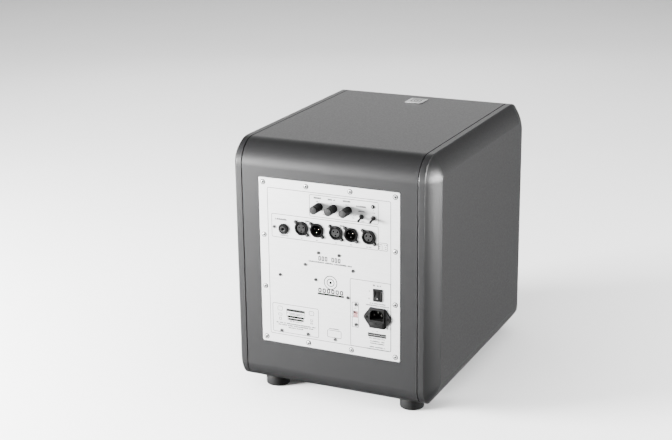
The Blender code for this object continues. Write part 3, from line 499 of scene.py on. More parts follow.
def build_feet():
    """Round rubber feet with a rounded rim and a screw well below."""
    upright = Matrix.Rotation(math.radians(90), 4, "X")
    for node in ("foot_front_left", "foot_front_right", "foot_rear_left", "foot_rear_right"):
        low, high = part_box(node)
        x, y = (low.x + high.x) / 2, (low.y + high.y) / 2
        radius, top = (high.x - low.x) / 2 / MM, high.z / MM
        profile = [(0, 9), (4, 9), (4.2, 1.2), (5, 0.3), (6, 0.0)]
        profile += arc((radius - 2.4, 2.4), 2.4, -90, 0, 6)
        profile += [(radius, top - 1.2), (radius - 0.4, top - 0.4), (radius - 1.2, top), (0, top)]
        bm = spindle(profile, 64, Matrix.Translation((x, y, 0.0)) @ upright)
        make(f"rubber_{node}", bm, "foot", node)
        profile = [(0, 0), (3.2, 0), (3.6, 0.6), (3.6, 2), (0, 2)]
        bm = spindle(profile, 24, Matrix.Translation((x, y, 6.6 * MM)) @ upright)
        make(f"well_screw_{node}", bm, "screw")


def build_badge():
    low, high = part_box("top_badge")
    centre = (low + high) / 2

    def on_badge(a, b, depth):
        return Vector((centre.x + a * MM, centre.y + b * MM, high.z + depth * MM))

    outline = rounded((0, 0), (high.x - low.x) / MM, (high.y - low.y) / MM, 2)
    bm = slab(outline, (low.z - high.z) / MM, 0, to_world=on_badge)
    soften(bm, 0.25, 2)
    make("badge_face", bm, "badge", "top_badge")
    crown = 0.06
    bm = bmesh.new()
    line_frame(bm, (0, 2), 20, 18, 3, 1.6, on_badge, crown)
    line_frame(bm, (0, 2), 9, 8, 3, 1.4, on_badge, crown)
    slab(rectangle((0, -13), 24, 2), PRINT_LOW, crown, bm, on_badge)
    make("badge_mark", bm, "ink", flat=True)


# ---------------------------------------------------------------- driver, in millimetres


def cone_depth(radius):
    return 9.2 + (105 - radius) * math.tan(math.radians(31.0))


def on_cone(radius, lift=0.0):
    return (radius, cone_depth(radius) + lift)


def build_trim():
    inner, outer, middle = 148.7, 151.6, 1.0
    crown = arc(((inner + outer) / 2, middle), (outer - inner) / 2, 180, 360, 10)
    profile = [(a, middle - (middle - b) * 0.8) for a, b in crown] + [(outer, 7), (inner, 7)]
    make("trim_gasket", spun(profile, 160), "gasket", "driver_trim_ring")


SCREW_CIRCLE = circle((0, 0), 137, 8, 90)


def build_flange():
    """The cast flange, with a rounded rim, a dished inner slope and eight screw pockets."""
    outer = 148.4
    profile = [(outer, 7.2)] + arc((outer - 1.2, 1.8), 1.2, 0, -90, 5) + [
        (144, 0.75), (141, 1.3), (138, 2.1), (135.2, 3.1), (133.6, 4.0), (132.4, 5.2), (131.4, 7.4),
        (130.9, 8.6), (126.4, 8.7), (126, 9.2), (125, 28), (96, 69), (62, 76), (42, 80), (42, 86),
        (66, 86), (66, 80), (100, 74), (129.5, 30), (132.2, 7.3),
    ]
    windows = bmesh.new()
    for index in range(6):
        turn = Matrix.Rotation(2 * math.pi * index / 6, 3, "Y")

        def place(a, b, depth, turn=turn):
            spot = turn @ Vector((a * MM, 0.0, b * MM))
            return Vector((spot.x, FRONT + depth * MM, DRIVER_Z + spot.z))

        slab(rounded((150, 0), 160, 64, 10), 32, 66, windows, place)
    pockets = bmesh.new()
    for spot in SCREW_CIRCLE:
        spun([(0, -2), (4.7, -2), (4.6, 5.2), (0, 5.2)], 32, False, spot, pockets)
    bm = carve(spun(profile, 144), [windows, pockets])
    make("cast_basket", bm, "cast", "driver_basket", angle=30)


def socket_head(radius, height, key):
    """(radius, depth) points of a button-head screw with a round socket."""
    profile = [(0, 1.3), (key * 0.9, 1.2), (key, 0.1), (key + 0.25, 0.0)]
    return profile + arc((radius - 1.0, 1.0), 1.0, -90, 0, 4) + [(radius, height), (0, height)]


def build_driver_screws():
    for index, spot in enumerate(SCREW_CIRCLE):
        bm = spun([(a, 1.5 + b) for a, b in socket_head(4.0, 3.6, 2.0)], 32, False, spot)
        make(f"flange_screw_{index + 1}", bm, "knob", f"driver_screw_{index + 1}")


def build_surround():
    """Half-roll rubber surround; its inner lip follows the cone and its outer lip stays."""
    outer, inner, base, thick = 130, 107, 7.4, 1.2
    radius = (outer - inner) / 2

    def roll(r, height, low, start, end):
        middle = (outer + inner) / 2
        return [(middle + r * a, low - height * b) for a, b in arc((0, 0), 1.0, start, end, 20)]

    profile = [(130.6, base + 0.1)] + roll(radius, 10, base, 4, 176)
    profile += [(106.7, base + 0.25), (105.9, base + 0.5)]
    profile += [on_cone(r, -1.25) for r in (104.6, 102, 99.5, 97.2)] + [on_cone(96.6, -0.8)]
    profile += [on_cone(r, -0.15) for r in (96.5, 99.5, 102, 104.6)]
    profile += [(106.2, base + 1.5), (107.6, base + 1.1)]
    profile += roll(radius - thick, 9.2, base + 0.6, 172, 6) + [(130.6, base + 0.9)]
    bm = spun(profile, 144)
    item = make("surround_roll", bm, "roll", "surround", body=None, angle=50)
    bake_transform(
        item, "cabinet", "moving_cone", (0, 0, DRIVER_Z + outer * MM), (0, 0, DRIVER_Z + inner * MM)
    )
    weights = item.data.attributes["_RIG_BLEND"]
    for vert, weight in zip(item.data.vertices, weights.data):
        distance = math.hypot(vert.co.x, vert.co.z - DRIVER_Z) / MM
        share = min(1.0, max(0.0, (outer - 0.5 - distance) / (outer - inner)))
        weight.value = share * share * (3 - 2 * share)


def build_cone():
    thick, neck = 1.4, 39.6
    profile = [on_cone(104.6, 0.1), on_cone(96.4, 0.05)]
    profile += [on_cone(r) for r in (90, 80, 70, 62, 56, 48, neck)]
    profile += [on_cone(r, thick) for r in (neck, 70, 104.6)]
    make("cone_skin", spun(profile), "cone", "cone", "moving_cone", angle=40)
    bm = spun(circle(on_cone(96.05, -0.35), 0.42, 8))
    make("cone_edge_bead", bm, "edge", body="moving_cone")


def build_dome():
    """Dust cap: a rounded dome with a small rolled foot on a bead of glue."""
    edge, rise = 58.2, 22
    sphere = (edge * edge + rise * rise) / (2 * rise)
    base = cone_depth(59) - 0.8
    sweep = math.asin(edge / sphere)
    outer, inner = [], []
    for step in range(29):
        angle = sweep * step / 28
        for points, r in ((outer, sphere), (inner, sphere - 1.0)):
            points.append((r * math.sin(angle), base - rise + sphere - r * math.cos(angle)))
    foot = [(58.7, base + 0.2), (58.9, base + 0.6), (58.2, base + 1.0)]
    bm = spun(outer + foot + inner[::-1], closed=False)
    make("dome_shell", bm, "dome", "dust_cap", "moving_cone", angle=50)
    bm = spun(circle(on_cone(59.8, -0.3), 0.95, 10))
    make("dome_glue_bead", bm, "bead", body="moving_cone")


def build_motor():
    """Voice coil, spider and magnet, behind the cone."""
    inner, start = 38.0, cone_depth(39.4) - 4
    profile = [(inner, start), (38.6, start), (38.6, 78)]
    for low in range(79, 104):
        profile += [(39.2, low), (39.55, low + 0.3), (39.55, low + 0.7)]
    bm = spun(profile + [(39.2, 104), (inner, 104)], 64)
    make("coil_winding", bm, "copper", "voice_coil", "moving_cone")
    depth = (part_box("spider")[0].y - FRONT) / MM + 1.1
    front, waves, steps = [], 5, 50
    for step in range(steps + 1):
        radius = 38.95 + (84 - 38.95) * step / steps
        front.append((radius, depth + 1.05 * math.cos(2 * math.pi * waves * step / steps)))
    back = [(radius, y + 0.7) for radius, y in reversed(front)]
    make("spider_disc", spun(front + back, 96), "cloth", "spider", angle=60)
    magnet_part("top_plate_ring", "magnet_top_plate", ring_profile, 42, 74, "steel")
    magnet_part("magnet_ring", "magnet", ring_profile, 52, 90, "ferrite")
    magnet_part("yoke_pole", "magnet_yoke", yoke_profile, 12, 78, "steel")


def ring_profile(inner, outer, low, high):
    return [
        (inner, low + 1), (inner + 1, low), (outer - 1, low), (outer, low + 1),
        (outer, high - 1), (outer - 1, high), (inner + 1, high), (inner, high - 1),
    ]


def yoke_profile(inner, outer, low, high):
    """A vented pole, 72 mm across, on a back plate 8 mm thick."""
    return [
        (inner, low + 1), (inner + 1, low), (35, low), (36, low + 1), (36, high - 8),
        (outer - 1, high - 8), (outer, high - 7), (outer, high - 2), (outer - 2, high),
        (15, high), (inner, high - 3),
    ]


def magnet_part(name, node, outline, inner, outer, material):
    low, high = [(corner.y - FRONT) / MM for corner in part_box(node)]
    make(name, spun(outline(inner, outer, low, high), 96), material, node)


# ---------------------------------------------------------------- amplifier plate, in millimetres

PRINT_LOW, INK = 0.01, 0.05
BEZEL = 0.3
SOCKET_FRONT = 2.4
# Each knob: its node, its cap, its body and its x.
KNOBS = (
    ("level_knob", "cap_level", "level_control", 16.6),
    ("low_pass_knob", "cap_low_pass", "low_pass_control", -11.2),
    ("phase_knob", "cap_phase", "phase_control", -38.8),
)
KNOB_ROW = 112.3
TOGGLES = (
    ("polarity_toggle_lever", "polarity_lever", -63.6),
    ("mute_toggle_lever", "mute_lever", -85.6),
)
TOGGLE_ROW = 103.6
# Each balanced socket: its node, its x, and whether it has holes.
XLR_SOCKETS = (
    ("xlr_input_right", 51.8, True), ("xlr_output_right", 22.2, False),
    ("xlr_input_left", -14.5, True), ("xlr_output_left", -43.3, False),
    ("xlr_sub_input", -76.8, True),
)
XLR_ROW = 68.5
EAR = 11.2
JACK_AT = (87.0, 63.5)
ROCKER_AT = (-93.0, -35.4)
INLET_AT = (-92.9, -77.0)
SELECTOR_AT = (-50.6, -77.0)
COLUMNS = (126.1, 42.05, -42.05, -126.1)
ROWS = (145.6, 48.4, -48.4, -145.6)
CAP_SCREWS = (
    (19.8, 27.6), (-19.8, 27.6), (46.2, 2.7), (-46.2, 2.7), (96.0, -23.0), (26.0, -23.0),
    (-36.0, -48.1), (-51.5, -58.5), (-51.3, -96.0), (95.8, -129.7), (43.0, -128.9), (-10.6, -130.8),
    (105.6, 65.4),
)


def plate_screw_places():
    places = []
    for row in ROWS:
        ends = abs(row) == max(ROWS)
        places += [(column, row) for column in (COLUMNS if ends else (COLUMNS[0], COLUMNS[-1]))]
    return places


def build_plate():
    bm = slab(rounded((0, 0), *PLATE_SIZE, 2.5), BACK, 0)
    holes = [circle(place, 2.4, 16) for place in plate_screw_places()]
    holes += [circle((x, KNOB_ROW), 3.6, 24) for _node, _cap, _body, x in KNOBS]
    holes += [circle((x, TOGGLE_ROW), 3.3, 24) for _node, _body, x in TOGGLES]
    holes += [circle((x, XLR_ROW), 12.2, 64) for _node, x, _female in XLR_SOCKETS]
    holes += [circle(JACK_AT, 6.2, 32), rectangle(ROCKER_AT, 13.6, 20)]
    holes += [rectangle(INLET_AT, 27.2, 35.4), rectangle(SELECTOR_AT, 9, 12)]
    cutter = bmesh.new()
    for outline in holes:
        slab(outline, BACK - 2, 2, cutter)
    bm = carve(bm, [cutter])
    soften(bm, 0.25, 2, 60)
    weigh(make("plate_sheet", bm, "plate", "amp_plate"))


def build_plate_screws():
    """Low heads with a hexagon socket, each in a black ring of painted shade where the gap round the head
    falls dark; a black hexagon at the bottom of each socket is painted shade in the recess.
    """
    head = [(0, 0.9), (2.3, 0.88), (2.9, 0.75), (3.25, 0.45), (3.35, 0.12), (1.8, 0.12)]
    profile = [(a, 0.05 + b) for a, b in head] + [(1.8, BACK - 10), (0, BACK - 10)]
    rings = bmesh.new()
    for index, spot in enumerate(plate_screw_places()):
        node, socket = f"plate_screw_{index + 1}", circle(spot, 2.3, 6, 20)
        bm = carve(turned(profile, spot, 32, False), [slab(socket, 0.35, 3.05)])
        make(f"pan_screw_{index + 1}", bm, "nickel", node, angle=40)
        # Painted shade: a black ring on the plate round the head, where the gap falls dark.
        turned([(3.6, 0.02), (3.65, 0.25), (4.75, 0.25), (4.8, 0.02)], spot, 40, bm=rings)
        # Painted shade: a black hexagon at the bottom of the socket, where the recess falls dark.
        slab(socket, 0.36, 0.5, rings)
    make("screw_shade_rings", rings, "ink", angle=60)


def button_screw(name, spot, face, head, material="screw"):
    """A small socket screw that faces out of the plate."""
    profile = [(radius, face - depth) for radius, depth in socket_head(*head)]
    make(name, turned(profile, spot, 24, False), material)


def build_cap_screws():
    """Small black screws that hold the electronics behind the plate."""
    for index, spot in enumerate(CAP_SCREWS):
        button_screw(f"cap_screw_{index + 1}", spot, 1.7, (2.9, 1.65, 1.4))


def line_frame(bm, centre, width, height, radius, thick, to_world=on_plate, high=INK):
    """A thin printed line round a rounded rectangle."""
    outer = rounded(centre, width, height, radius, 5)
    inner = rounded(centre, width - 2 * thick, height - 2 * thick, max(radius - thick, 0.1), 5)
    rings = []
    for outline, depth in ((outer, PRINT_LOW), (outer, high), (inner, high), (inner, PRINT_LOW)):
        rings.append([bm.verts.new(to_world(a, b, depth)) for a, b in outline])
    for index in range(4):
        bridge(bm, rings[index], rings[(index + 1) % 4])


def greek(bm, x, z, width, height, seed):
    """A line of meaningless little marks, where small print stands."""
    chance = random.Random(seed)
    at, end, low = x + width / 2, x - width / 2, z - height / 2
    scale = min(1.0, height / 1.6)
    while at > end + 0.4:
        size = min(chance.uniform(0.8, 1.6) * scale, at - end)
        top = low + height * chance.choice((1.0, 1.0, 0.75))
        if chance.random() > 0.08:
            slab([(at - size, low), (at, low), (at, top), (at - size, top)], PRINT_LOW, INK, bm)
        at -= size + 0.3 * scale


def ticks(bm, x, z, radius, length, count, sweep, width):
    """Dial marks round a knob."""
    for index in range(count):
        turn = math.radians(90 + sweep / 2 - sweep * index / (count - 1))
        out = Vector((math.cos(turn), math.sin(turn)))
        side = Vector((-out.y, out.x)) * width / 2
        a, b = out * radius, out * (radius + length)
        corners = [(x + p.x, z + p.y) for p in (a - side, b - side, b + side, a + side)]
        slab(corners, PRINT_LOW, INK, bm)


# Large outlines: left and right as seen from behind, low, high and corner radius. Their heights have
# the plate's middle at FRAMES_MIDDLE.
FRAMES_MIDDLE = 236
FRAMES = (
    (118.2, -118.2, 98.4, 372.9, 3), (36.1, -95.1, 328.9, 368.9, 3), (110.9, -95, 282.5, 326, 3),
    (-95.0, -112.2, 283, 297.5, 2), (-40.3, -118.0, 98.6, 225, 3), (113.2, 21.4, 102.8, 158, 3),
    (4.9, -22.8, 108, 122, 2), (-43.6, -56.8, 134.8, 182, 2),
)
# Lines of small marks: x, z, width and height.
LABELS = (
    (20.9, 127.7, 16, 2.5), (-6.9, 127.3, 14, 2.5), (-35.4, 127.7, 14, 2.5),
    (20.6, 121.6, 4, 1.4), (-7.4, 121.6, 3, 1.4), (-35.4, 121.6, 3, 1.4),
    (8.0, 99.5, 4, 1.2), (-19.5, 99.5, 4, 1.2), (-48.0, 99.5, 4, 1.2), (-50.5, 104.5, 4, 1.2),
    (-62.5, 121.4, 19, 2.3), (-64.0, 113.0, 13, 1.6), (-86.0, 113.0, 6, 1.6),
    (-66.0, 95.8, 7, 1.2), (-86.0, 117.6, 1, 1.6),
    (92.0, 80.6, 24, 2.5), (39.0, 82.6, 10, 2.3), (-26.9, 82.6, 9, 2.3),
    (86.0, 51.4, 16, 1.5), (51.8, 50.3, 3, 1.4), (22.2, 50.3, 4, 1.4), (-14.5, 50.3, 3, 1.4),
    (-43.3, 50.3, 4, 1.4), (-76.8, 50.3, 10, 1.4),
    (-99.5, 58.0, 6, 1.3), (-99.5, 54.3, 7, 1.3), (-99.5, 50.6, 7, 1.3),
    (-108.5, 58.0, 5, 1.3), (-108.5, 54.3, 3, 1.3), (-108.5, 50.6, 3, 1.3),
    (-91.6, -18.0, 15, 2.6), (-92.6, -51.4, 30, 1.6), (-92.6, -55.2, 44, 1.6),
    (-50.3, -65.5, 5, 1.2), (-83.1, -103.6, 3, 1.3), (-92.0, -103.2, 3, 1.2),
    (-91.5, -116.6, 30, 1.3), (-92.8, -122.0, 28, 1.7), (-92.2, -126.0, 27, 1.7),
    (-91.4, -132.8, 31, 1.7), (-91.4, -136.9, 45, 1.5),
    (67.0, -114.8, 78, 1.8), (67.0, -118.4, 70, 1.8), (67.0, -122.2, 30, 1.6),
    (-9.0, -111.2, 20, 1.6), (67.0, -94.0, 33, 1.4), (67.0, -96.6, 28, 1.4), (67.0, -109.6, 24, 1.3),
    (-3.0, 10.4, 84, 2.3),
)
LABEL_TALLER = 1.2
# Solid bars: x, z, width and height.
BARS = (
    (-91.5, -108.4, 35, 3.5), (-91.5, -112.2, 35, 3.5), (67.0, -88.8, 37, 4.2), (67.0, -101.2, 32, 3.0),
    (67.0, -105.2, 30, 3.0), (-3.0, -48.2, 51, 3.8), (-77.2, -29.3, 1.0, 3.0),
)
# Small outlines: x, z, width, height and corner radius.
OUTLINES = (
    (67.0, -93.6, 37, 14.5, 1.5), (98.0, -87.5, 10, 8.6, 2.5), (35.5, -88.5, 10, 8.6, 2.5),
    (98.0, -99.0, 8, 5.0, 2.0), (98.0, -107.0, 5, 5.0, 0.4), (35.5, -102.0, 5, 4.0, 0.4),
    (35.5, -107.5, 5, 3.0, 0.4), (67.0, -103.2, 33, 8.6, 0.8), (-76.6, -43.4, 3.0, 3.0, 1.49),
)


def build_print():
    """Thin lines, bars and dots where the plate is printed; no lettering."""
    bm = bmesh.new()
    for x1, x0, z0, z1, radius in FRAMES:
        line_frame(bm, ((x0 + x1) / 2, (z0 + z1) / 2 - FRAMES_MIDDLE), x1 - x0, z1 - z0, radius, 1.0)
    make("plate_frames", bm, "pale", flat=True)
    bm = bmesh.new()
    for index, (x, z, width, height) in enumerate(LABELS):
        greek(bm, x, z, width, height * LABEL_TALLER, index)
    for _node, _cap, _body, x in KNOBS:
        ticks(bm, x, KNOB_ROW, 9.6, 1.7, 11, 300, 0.45)
    for x, z, width, height in BARS:
        slab(rectangle((x, z), width, height), PRINT_LOW, INK, bm)
    for x, z, width, height, radius in OUTLINES:
        line_frame(bm, (x, z), width, height, radius, 0.8)
    for index in (0, 1, 2, 4, 5, 6):
        line_frame(bm, (17.6 - index * 6.3, 17.8), 4.8, 8.6, 1.2, 1.7)
    for width, thick in ((26, 1.5), (15, 1.5), (5, 2.4)):
        line_frame(bm, (-3.0, -25.0), width, width, width / 2 - 0.01, thick)
    for index in range(6):
        line_frame(bm, (18.0 - index * 8.4, -41.5), 6.4, 8.2, 2.0, 2.1)
    make("plate_marks", bm, "ink", flat=True)


def lobed(spot, rows, count, wave, ends=True):
    """A round shape whose outline goes in by wave(angle); rows hold depth, radius and its share."""
    bm = bmesh.new()
    sections = []
    for depth, radius, deep in rows:
        ring = []
        for index in range(count):
            angle = 2 * math.pi * index / count
            r = radius - deep * wave(angle)
            ring.append(on_plate(spot[0] + r * math.cos(angle), spot[1] + r * math.sin(angle), depth))
        sections.append(ring)
    rings = loft(bm, sections, ends)
    if not ends:
        bridge(bm, rings[-1], rings[0])
    return bm


def build_knobs():
    """Fluted knobs with a cap set in their end and a pale pointer line."""
    flutes, base = 36, 0.8
    for node, cap, body, x in KNOBS:
        spot, tip = (x, KNOB_ROW), span(node)[3]
        rows = (
            (base, 7.1, 0.0), (base + 0.3, 7.4, 0.0), (base + 2.6, 7.5, 0.0), (base + 3.0, 7.45, 0.38),
            (tip - 2.2, 7.3, 0.38), (tip - 1.8, 7.3, 0.0), (tip - 0.5, 7.2, 0.0), (tip - 0.1, 7.0, 0.0),
            (tip, 6.8, 0.0), (tip - 0.35, 6.6, 0.0),
        )
        bm = lobed(spot, rows, 4 * flutes, lambda angle: 0.5 - 0.5 * math.cos(angle * flutes))
        turned([(2.9, base + 0.5), (2.9, BACK - 8), (0, BACK - 8), (0, base + 0.5)], spot, 24, bm=bm)
        make(f"fluted_{node}", bm, "knob", node, body, angle=40)
        face = tip - 0.3
        profile = [(0, face + 0.12), (6.2, face + 0.12), (6.5, face - 0.05)]
        profile += [(6.5, face - 0.3), (0, face - 0.3)]
        make(cap, turned(profile, spot, 48, False), "cap", body=body)
        bm = slab(rounded((x, KNOB_ROW + 3.2), 0.7, 3.8, 0.3, 3), face + 0.13, face + 0.2)
        make(f"{cap}_line", bm, "pale", body=body, flat=True)


def build_toggles():
    """Two bat levers, each through a threaded bush and a hexagon nut."""
    middle = ((TOGGLES[0][2] + TOGGLES[1][2]) / 2, TOGGLE_ROW)
    bm = slab(rectangle(middle, 36, 14), BACK - 12, BACK - 0.3)
    soften(bm, 0.6)
    make("toggle_carrier", bm, "plastic", "toggle_block")
    for index, (_node, _body, x) in enumerate(TOGGLES):
        spot = (x, TOGGLE_ROW)
        bm = slab(circle(spot, 4.9, 6, 10), 0.3, 1.9)
        soften(bm, 0.3)
        bm = carve(bm, [slab(circle(spot, 2.8, 32), -1, 5)])
        make(f"toggle_nut_{index + 1}", bm, "lever")
        profile = [(2.3, -3.0), (2.9, -3.0)]
        for step in range(9):
            profile += [(2.95, -2.6 + step * 0.65), (2.7, -2.3 + step * 0.65)]
        profile += [(2.9, 3.15), (2.3, 3.2)]
        make(f"toggle_bush_{index + 1}", turned(profile, spot, 32), "lever")
    length, ball = 17.5, 2.3
    profile = [(0, -1.9), (1.0, -1.7), (1.15, -1.2), (1.15, 3.6), (1.7, 7), (2.1, 12), (ball, length - 2.6)]
    profile += arc((0.0, length - ball), ball, 10, 90, 8)[:-1] + [(0, length)]
    for node, body, x in TOGGLES:
        pivot = Matrix.Translation(on_plate(x, TOGGLE_ROW, -0.5))
        bm = spindle(profile, 32, pivot @ Matrix.Rotation(math.radians(-15), 4, "X"))
        make(f"bat_{node}", bm, "lever", node, body)


def ear_flange(x, z):
    """A round flange with two ears, on the two diagonal corners that hold its screws."""
    outline = []
    for side, start in ((-1, 57), (1, 237)):
        outline += arc((x, z), 13, start, start + 156, 28)
        outline += arc((x + side * EAR, z + side * EAR), 3.0, start + 68, start + 268, 14)
    return outline


def build_sockets():
    front = SOCKET_FRONT
    for node, x, female in XLR_SOCKETS:
        spot = (x, XLR_ROW)
        bm = slab(ear_flange(x, XLR_ROW), 0.2, front)
        soften(bm, 0.5, 3, 50)
        profile = [(0, BACK - 22), (11.7, BACK - 22), (11.7, front - 1), (0, front - 1)]
        bm = carve(bm, [turned(profile, spot, 64, False)], "UNION")
        deep = front - (10 if female else 14)
        profile = [(0, deep), (9.7, deep), (9.7, front - 0.6), (10.3, front + 0.1)]
        profile += [(10.3, front + 2), (0, front + 2)]
        bm = carve(bm, [turned(profile, spot, 64, False)])
        make(f"{node}_shell", bm, "knob", node, angle=35)
        if female:
            build_female(node, x)
        else:
            build_male(node, x)
        for letter, sign in (("a", 1), ("b", -1)):
            ear = (x + sign * EAR, XLR_ROW + sign * EAR)
            button_screw(f"{node}_ear_screw_{letter}", ear, front + 0.9, (2.2, 0.85, 1.0))


def build_female(node, x):
    """Grey insert with three holes, and a push latch above it."""
    front, face = SOCKET_FRONT, SOCKET_FRONT - 0.8
    profile = [(0, face), (7.6, face), (8.1, face - 0.5), (8.1, front - 9.8), (0, front - 9.8)]
    holes = bmesh.new()
    for place in circle((x, XLR_ROW), 4.6, 3, -90):
        slab(circle(place, 1.45, 24), front - 9, front + 1, holes)
    slab(rectangle((x, XLR_ROW - 8.1), 2.2, 1.6), front - 9, front + 1, holes)
    bm = carve(turned(profile, (x, XLR_ROW), 64, False), [holes])
    make(f"{node}_insert", bm, "grey", angle=35)
    bm = slab(rounded((x, XLR_ROW + 11.1), 5.4, 3.0, 1.0), front - 0.2, front + 0.9)
    soften(bm, 0.3)
    make(f"{node}_latch", bm, "grey")


def build_male(node, x):
    """Three bright pins with round ends."""
    tip, root, radius = SOCKET_FRONT - 2, SOCKET_FRONT - 14.2, 1.2
    profile = [(0, tip)]
    for turn in (22, 45, 68, 90):
        angle = math.radians(turn)
        profile.append((radius * math.sin(angle), tip - radius * (1 - math.cos(angle))))
    profile += [(radius, root), (0, root)]
    for index, spot in enumerate(circle((x, XLR_ROW), 4.6, 3, -90)):
        make(f"{node}_pin_{index + 1}", turned(profile, spot, 24, False), "gold")


def build_jack():
    """Jack socket with a ribbed nut and a contact ring in its bore."""
    face, bore, deep = BEZEL, 3.35, span("jack_socket")[2]
    profile = [(bore, face + 3.5), (bore + 0.5, face + 4.0), (5.1, face + 4.0), (5.4, face + 3.7)]
    profile += [(5.4, face - 0.5), (5.9, face - 0.5), (5.9, BACK - 0.3), (9, BACK - 0.3)]
    profile += [(9, deep), (0, deep), (0, deep + 1.5), (bore, deep + 1.5)]
    make("jack_sleeve", turned(profile, JACK_AT, 64), "cap", "jack_socket")
    ribs = 14
    rows = (
        (face, 9.8, 0.5), (face + 2.2, 9.8, 0.5), (face + 2.9, 9.1, 0.3), (face + 3.0, 8.0, 0.0),
        (face + 2.7, 5.5, 0.0), (face, 5.5, 0.0),
    )
    bm = lobed(JACK_AT, rows, 6 * ribs, lambda angle: max(0.0, math.cos(angle * ribs)), ends=False)
    make("jack_nut", bm, "knob", angle=40)
    profile = [(3.34, face - 2), (3.34, face + 3.4), (2.95, face + 3.2), (2.95, face - 2)]
    make("jack_contact_ring", turned(profile, JACK_AT, 48), "screw")


def build_rocker():
    """Mains switch: a bezel with a well, a rocking paddle and a pale dot on it."""
    face = BEZEL
    bm = slab(rounded(ROCKER_AT, 16.8, 23.2, 1.2), face - 0.2, face + 2)
    soften(bm, 0.6, 3)
    bm = carve(bm, [slab(rectangle(ROCKER_AT, 13, 19.4), BACK - 18, face + 1)], "UNION")
    bm = carve(bm, [slab(rounded(ROCKER_AT, 11, 17.4, 0.4, 3), -10, face + 5)])
    make("switch_bezel", bm, "plastic", "rocker_frame", angle=35)
    axis = on_plate(*ROCKER_AT, -1)
    outline = [(-5.6, -6.4), (5.6, -6.4), (8.2, 1.4), (8.1, 2.2)]
    for step in range(1, 12):
        share = step / 12
        outline.append((8.1 - share * 15.6, 2.2 + 1.7 * share - 1.3 * math.sin(math.pi * share)))
    outline += [(-7.5, 3.9), (-8.0, 3.0)]
    bm = slab(outline, -5.2, 5.2, to_world=lambda a, b, depth: axis + Vector((depth, b, a)) * MM)
    soften(bm, 0.3)
    make("switch_paddle", bm, "knob", "rocker_paddle", "mains_paddle", angle=35)
    profile = [(0, 0), (0.75, 0), (0.9, -0.2), (0.9, -0.6), (0, -0.6)]
    top = Matrix.Translation(axis + Vector((0, 3.45, -6)) * MM)
    bm = spindle(profile, 24, top @ Matrix.Rotation(math.radians(-9), 4, "X"))
    make("switch_dot", bm, "edge", body="mains_paddle")


def build_inlet():
    """Mains inlet with its blades and screws, and the fuse drawer below its mouth."""
    x, z = INLET_AT
    face, front = BEZEL, BEZEL + 5
    half, high, wide, tip = 14.3, 18.4, 25.6, 2.2
    outline = [
        (x - half, z - high), (x + half, z - high), (x + wide, z - tip), (x + wide, z + tip),
        (x + half, z + high), (x - half, z + high), (x - wide, z + tip), (x - wide, z - tip),
    ]
    bm = slab(outline, face - 0.2, face + 2.6)
    soften(bm, 0.5, 3, 60)
    block = slab(rounded(INLET_AT, 28.6, 36.8, 1.4), face + 1, front)
    soften(block, 0.7, 3, 60)
    neck = slab(rectangle(INLET_AT, 26.8, 35), BACK - 24, face + 1.5)
    bm = carve(bm, [block, neck], "UNION")
    low, top, side, cut = z - 3.6, z + 15.0, 12.9, 5.2
    mouth = [
        (x - side, low), (x + side, low), (x + side, top - cut), (x + side - cut, top),
        (x - side + cut, top), (x - side, top - cut),
    ]
    drawer = slab(rectangle((x, z - 12), 24.6, 9.6), front - 26, front + 3)
    bm = carve(bm, [slab(mouth, front - 17, front + 3), drawer])
    make("inlet_housing", bm, "plastic", "mains_inlet", angle=35)
    blades = ((-7.1, 4.3, 6.0), (7.1, 4.3, 6.0), (0.0, 8.4, 9.0))
    for index, (shift, rise, sunk) in enumerate(blades):
        bm = slab(rectangle((x + shift, z + rise), 2.0, 4.0), front - 18, front - sunk)
        soften(bm, 0.5, 3)
        make(f"inlet_blade_{index + 1}", bm, "gold")
    for name, side in (("left", -1), ("right", 1)):
        button_screw(f"inlet_screw_{name}", (x + side * 20, z), face + 3.3, (2.7, 0.75, 1.1), "knob")
    bm = slab(rounded((x, z - 12), 24, 9, 0.5, 3), front - 25, front + 0.8)
    soften(bm, 0.4, 2, 60)
    bm = carve(bm, [slab(rounded((x, z - 9.2), 7, 1.6, 0.5, 3), front - 0.6, front + 3)])
    make("drawer_face", bm, "plastic", "fuse_drawer", "fuse_holder", angle=35)


def build_selector():
    """Voltage selector: a flange behind the plate and a grooved nib in its window."""
    x, z = SELECTOR_AT
    window, travel, gap = 12, 4, 0.8
    height = window - travel - gap
    middle = (x, z - (window - gap) / 2 + height / 2)
    back, tip = BACK - 0.3, span("voltage_slider")[3]
    nib = slab(rounded(middle, 8.2, height, 0.5, 3), back - 1, tip)
    soften(nib, 0.3, 2, 60)
    bm = carve(slab(rectangle(middle, 13, height + 8), back - 1.6, back), [nib], "UNION")
    grooves = bmesh.new()
    for shift in (-2, 0, 2):
        slab(rectangle((x, middle[1] + shift), 6.4, 0.6), tip - 0.5, tip + 2, grooves)
    bm = carve(bm, [grooves])
    make("selector_nib", bm, "slider", "voltage_slider", "voltage_selector", angle=35)


def build_lamp():
    spot, lens = (-84.6, 123.8), 1.55
    profile = [(1.6, 1.0), (1.9, 1.5), (2.9, 1.5), (3.3, 1.2), (3.5, 0.6), (3.5, 0.05), (1.6, 0.05)]
    make("lamp_bezel", turned(profile, spot, 40), "plastic", angle=50)
    dome = [(lens * a, 0.9 + b) for a, b in arc((0, 0), 1.0, 0, 75, 5)]
    bm = turned([(lens, 0.1)] + dome + [(0, 1.9), (0, 0.1)], spot, 32)
    make("lamp_lens_dome", bm, "lamp", angle=60)


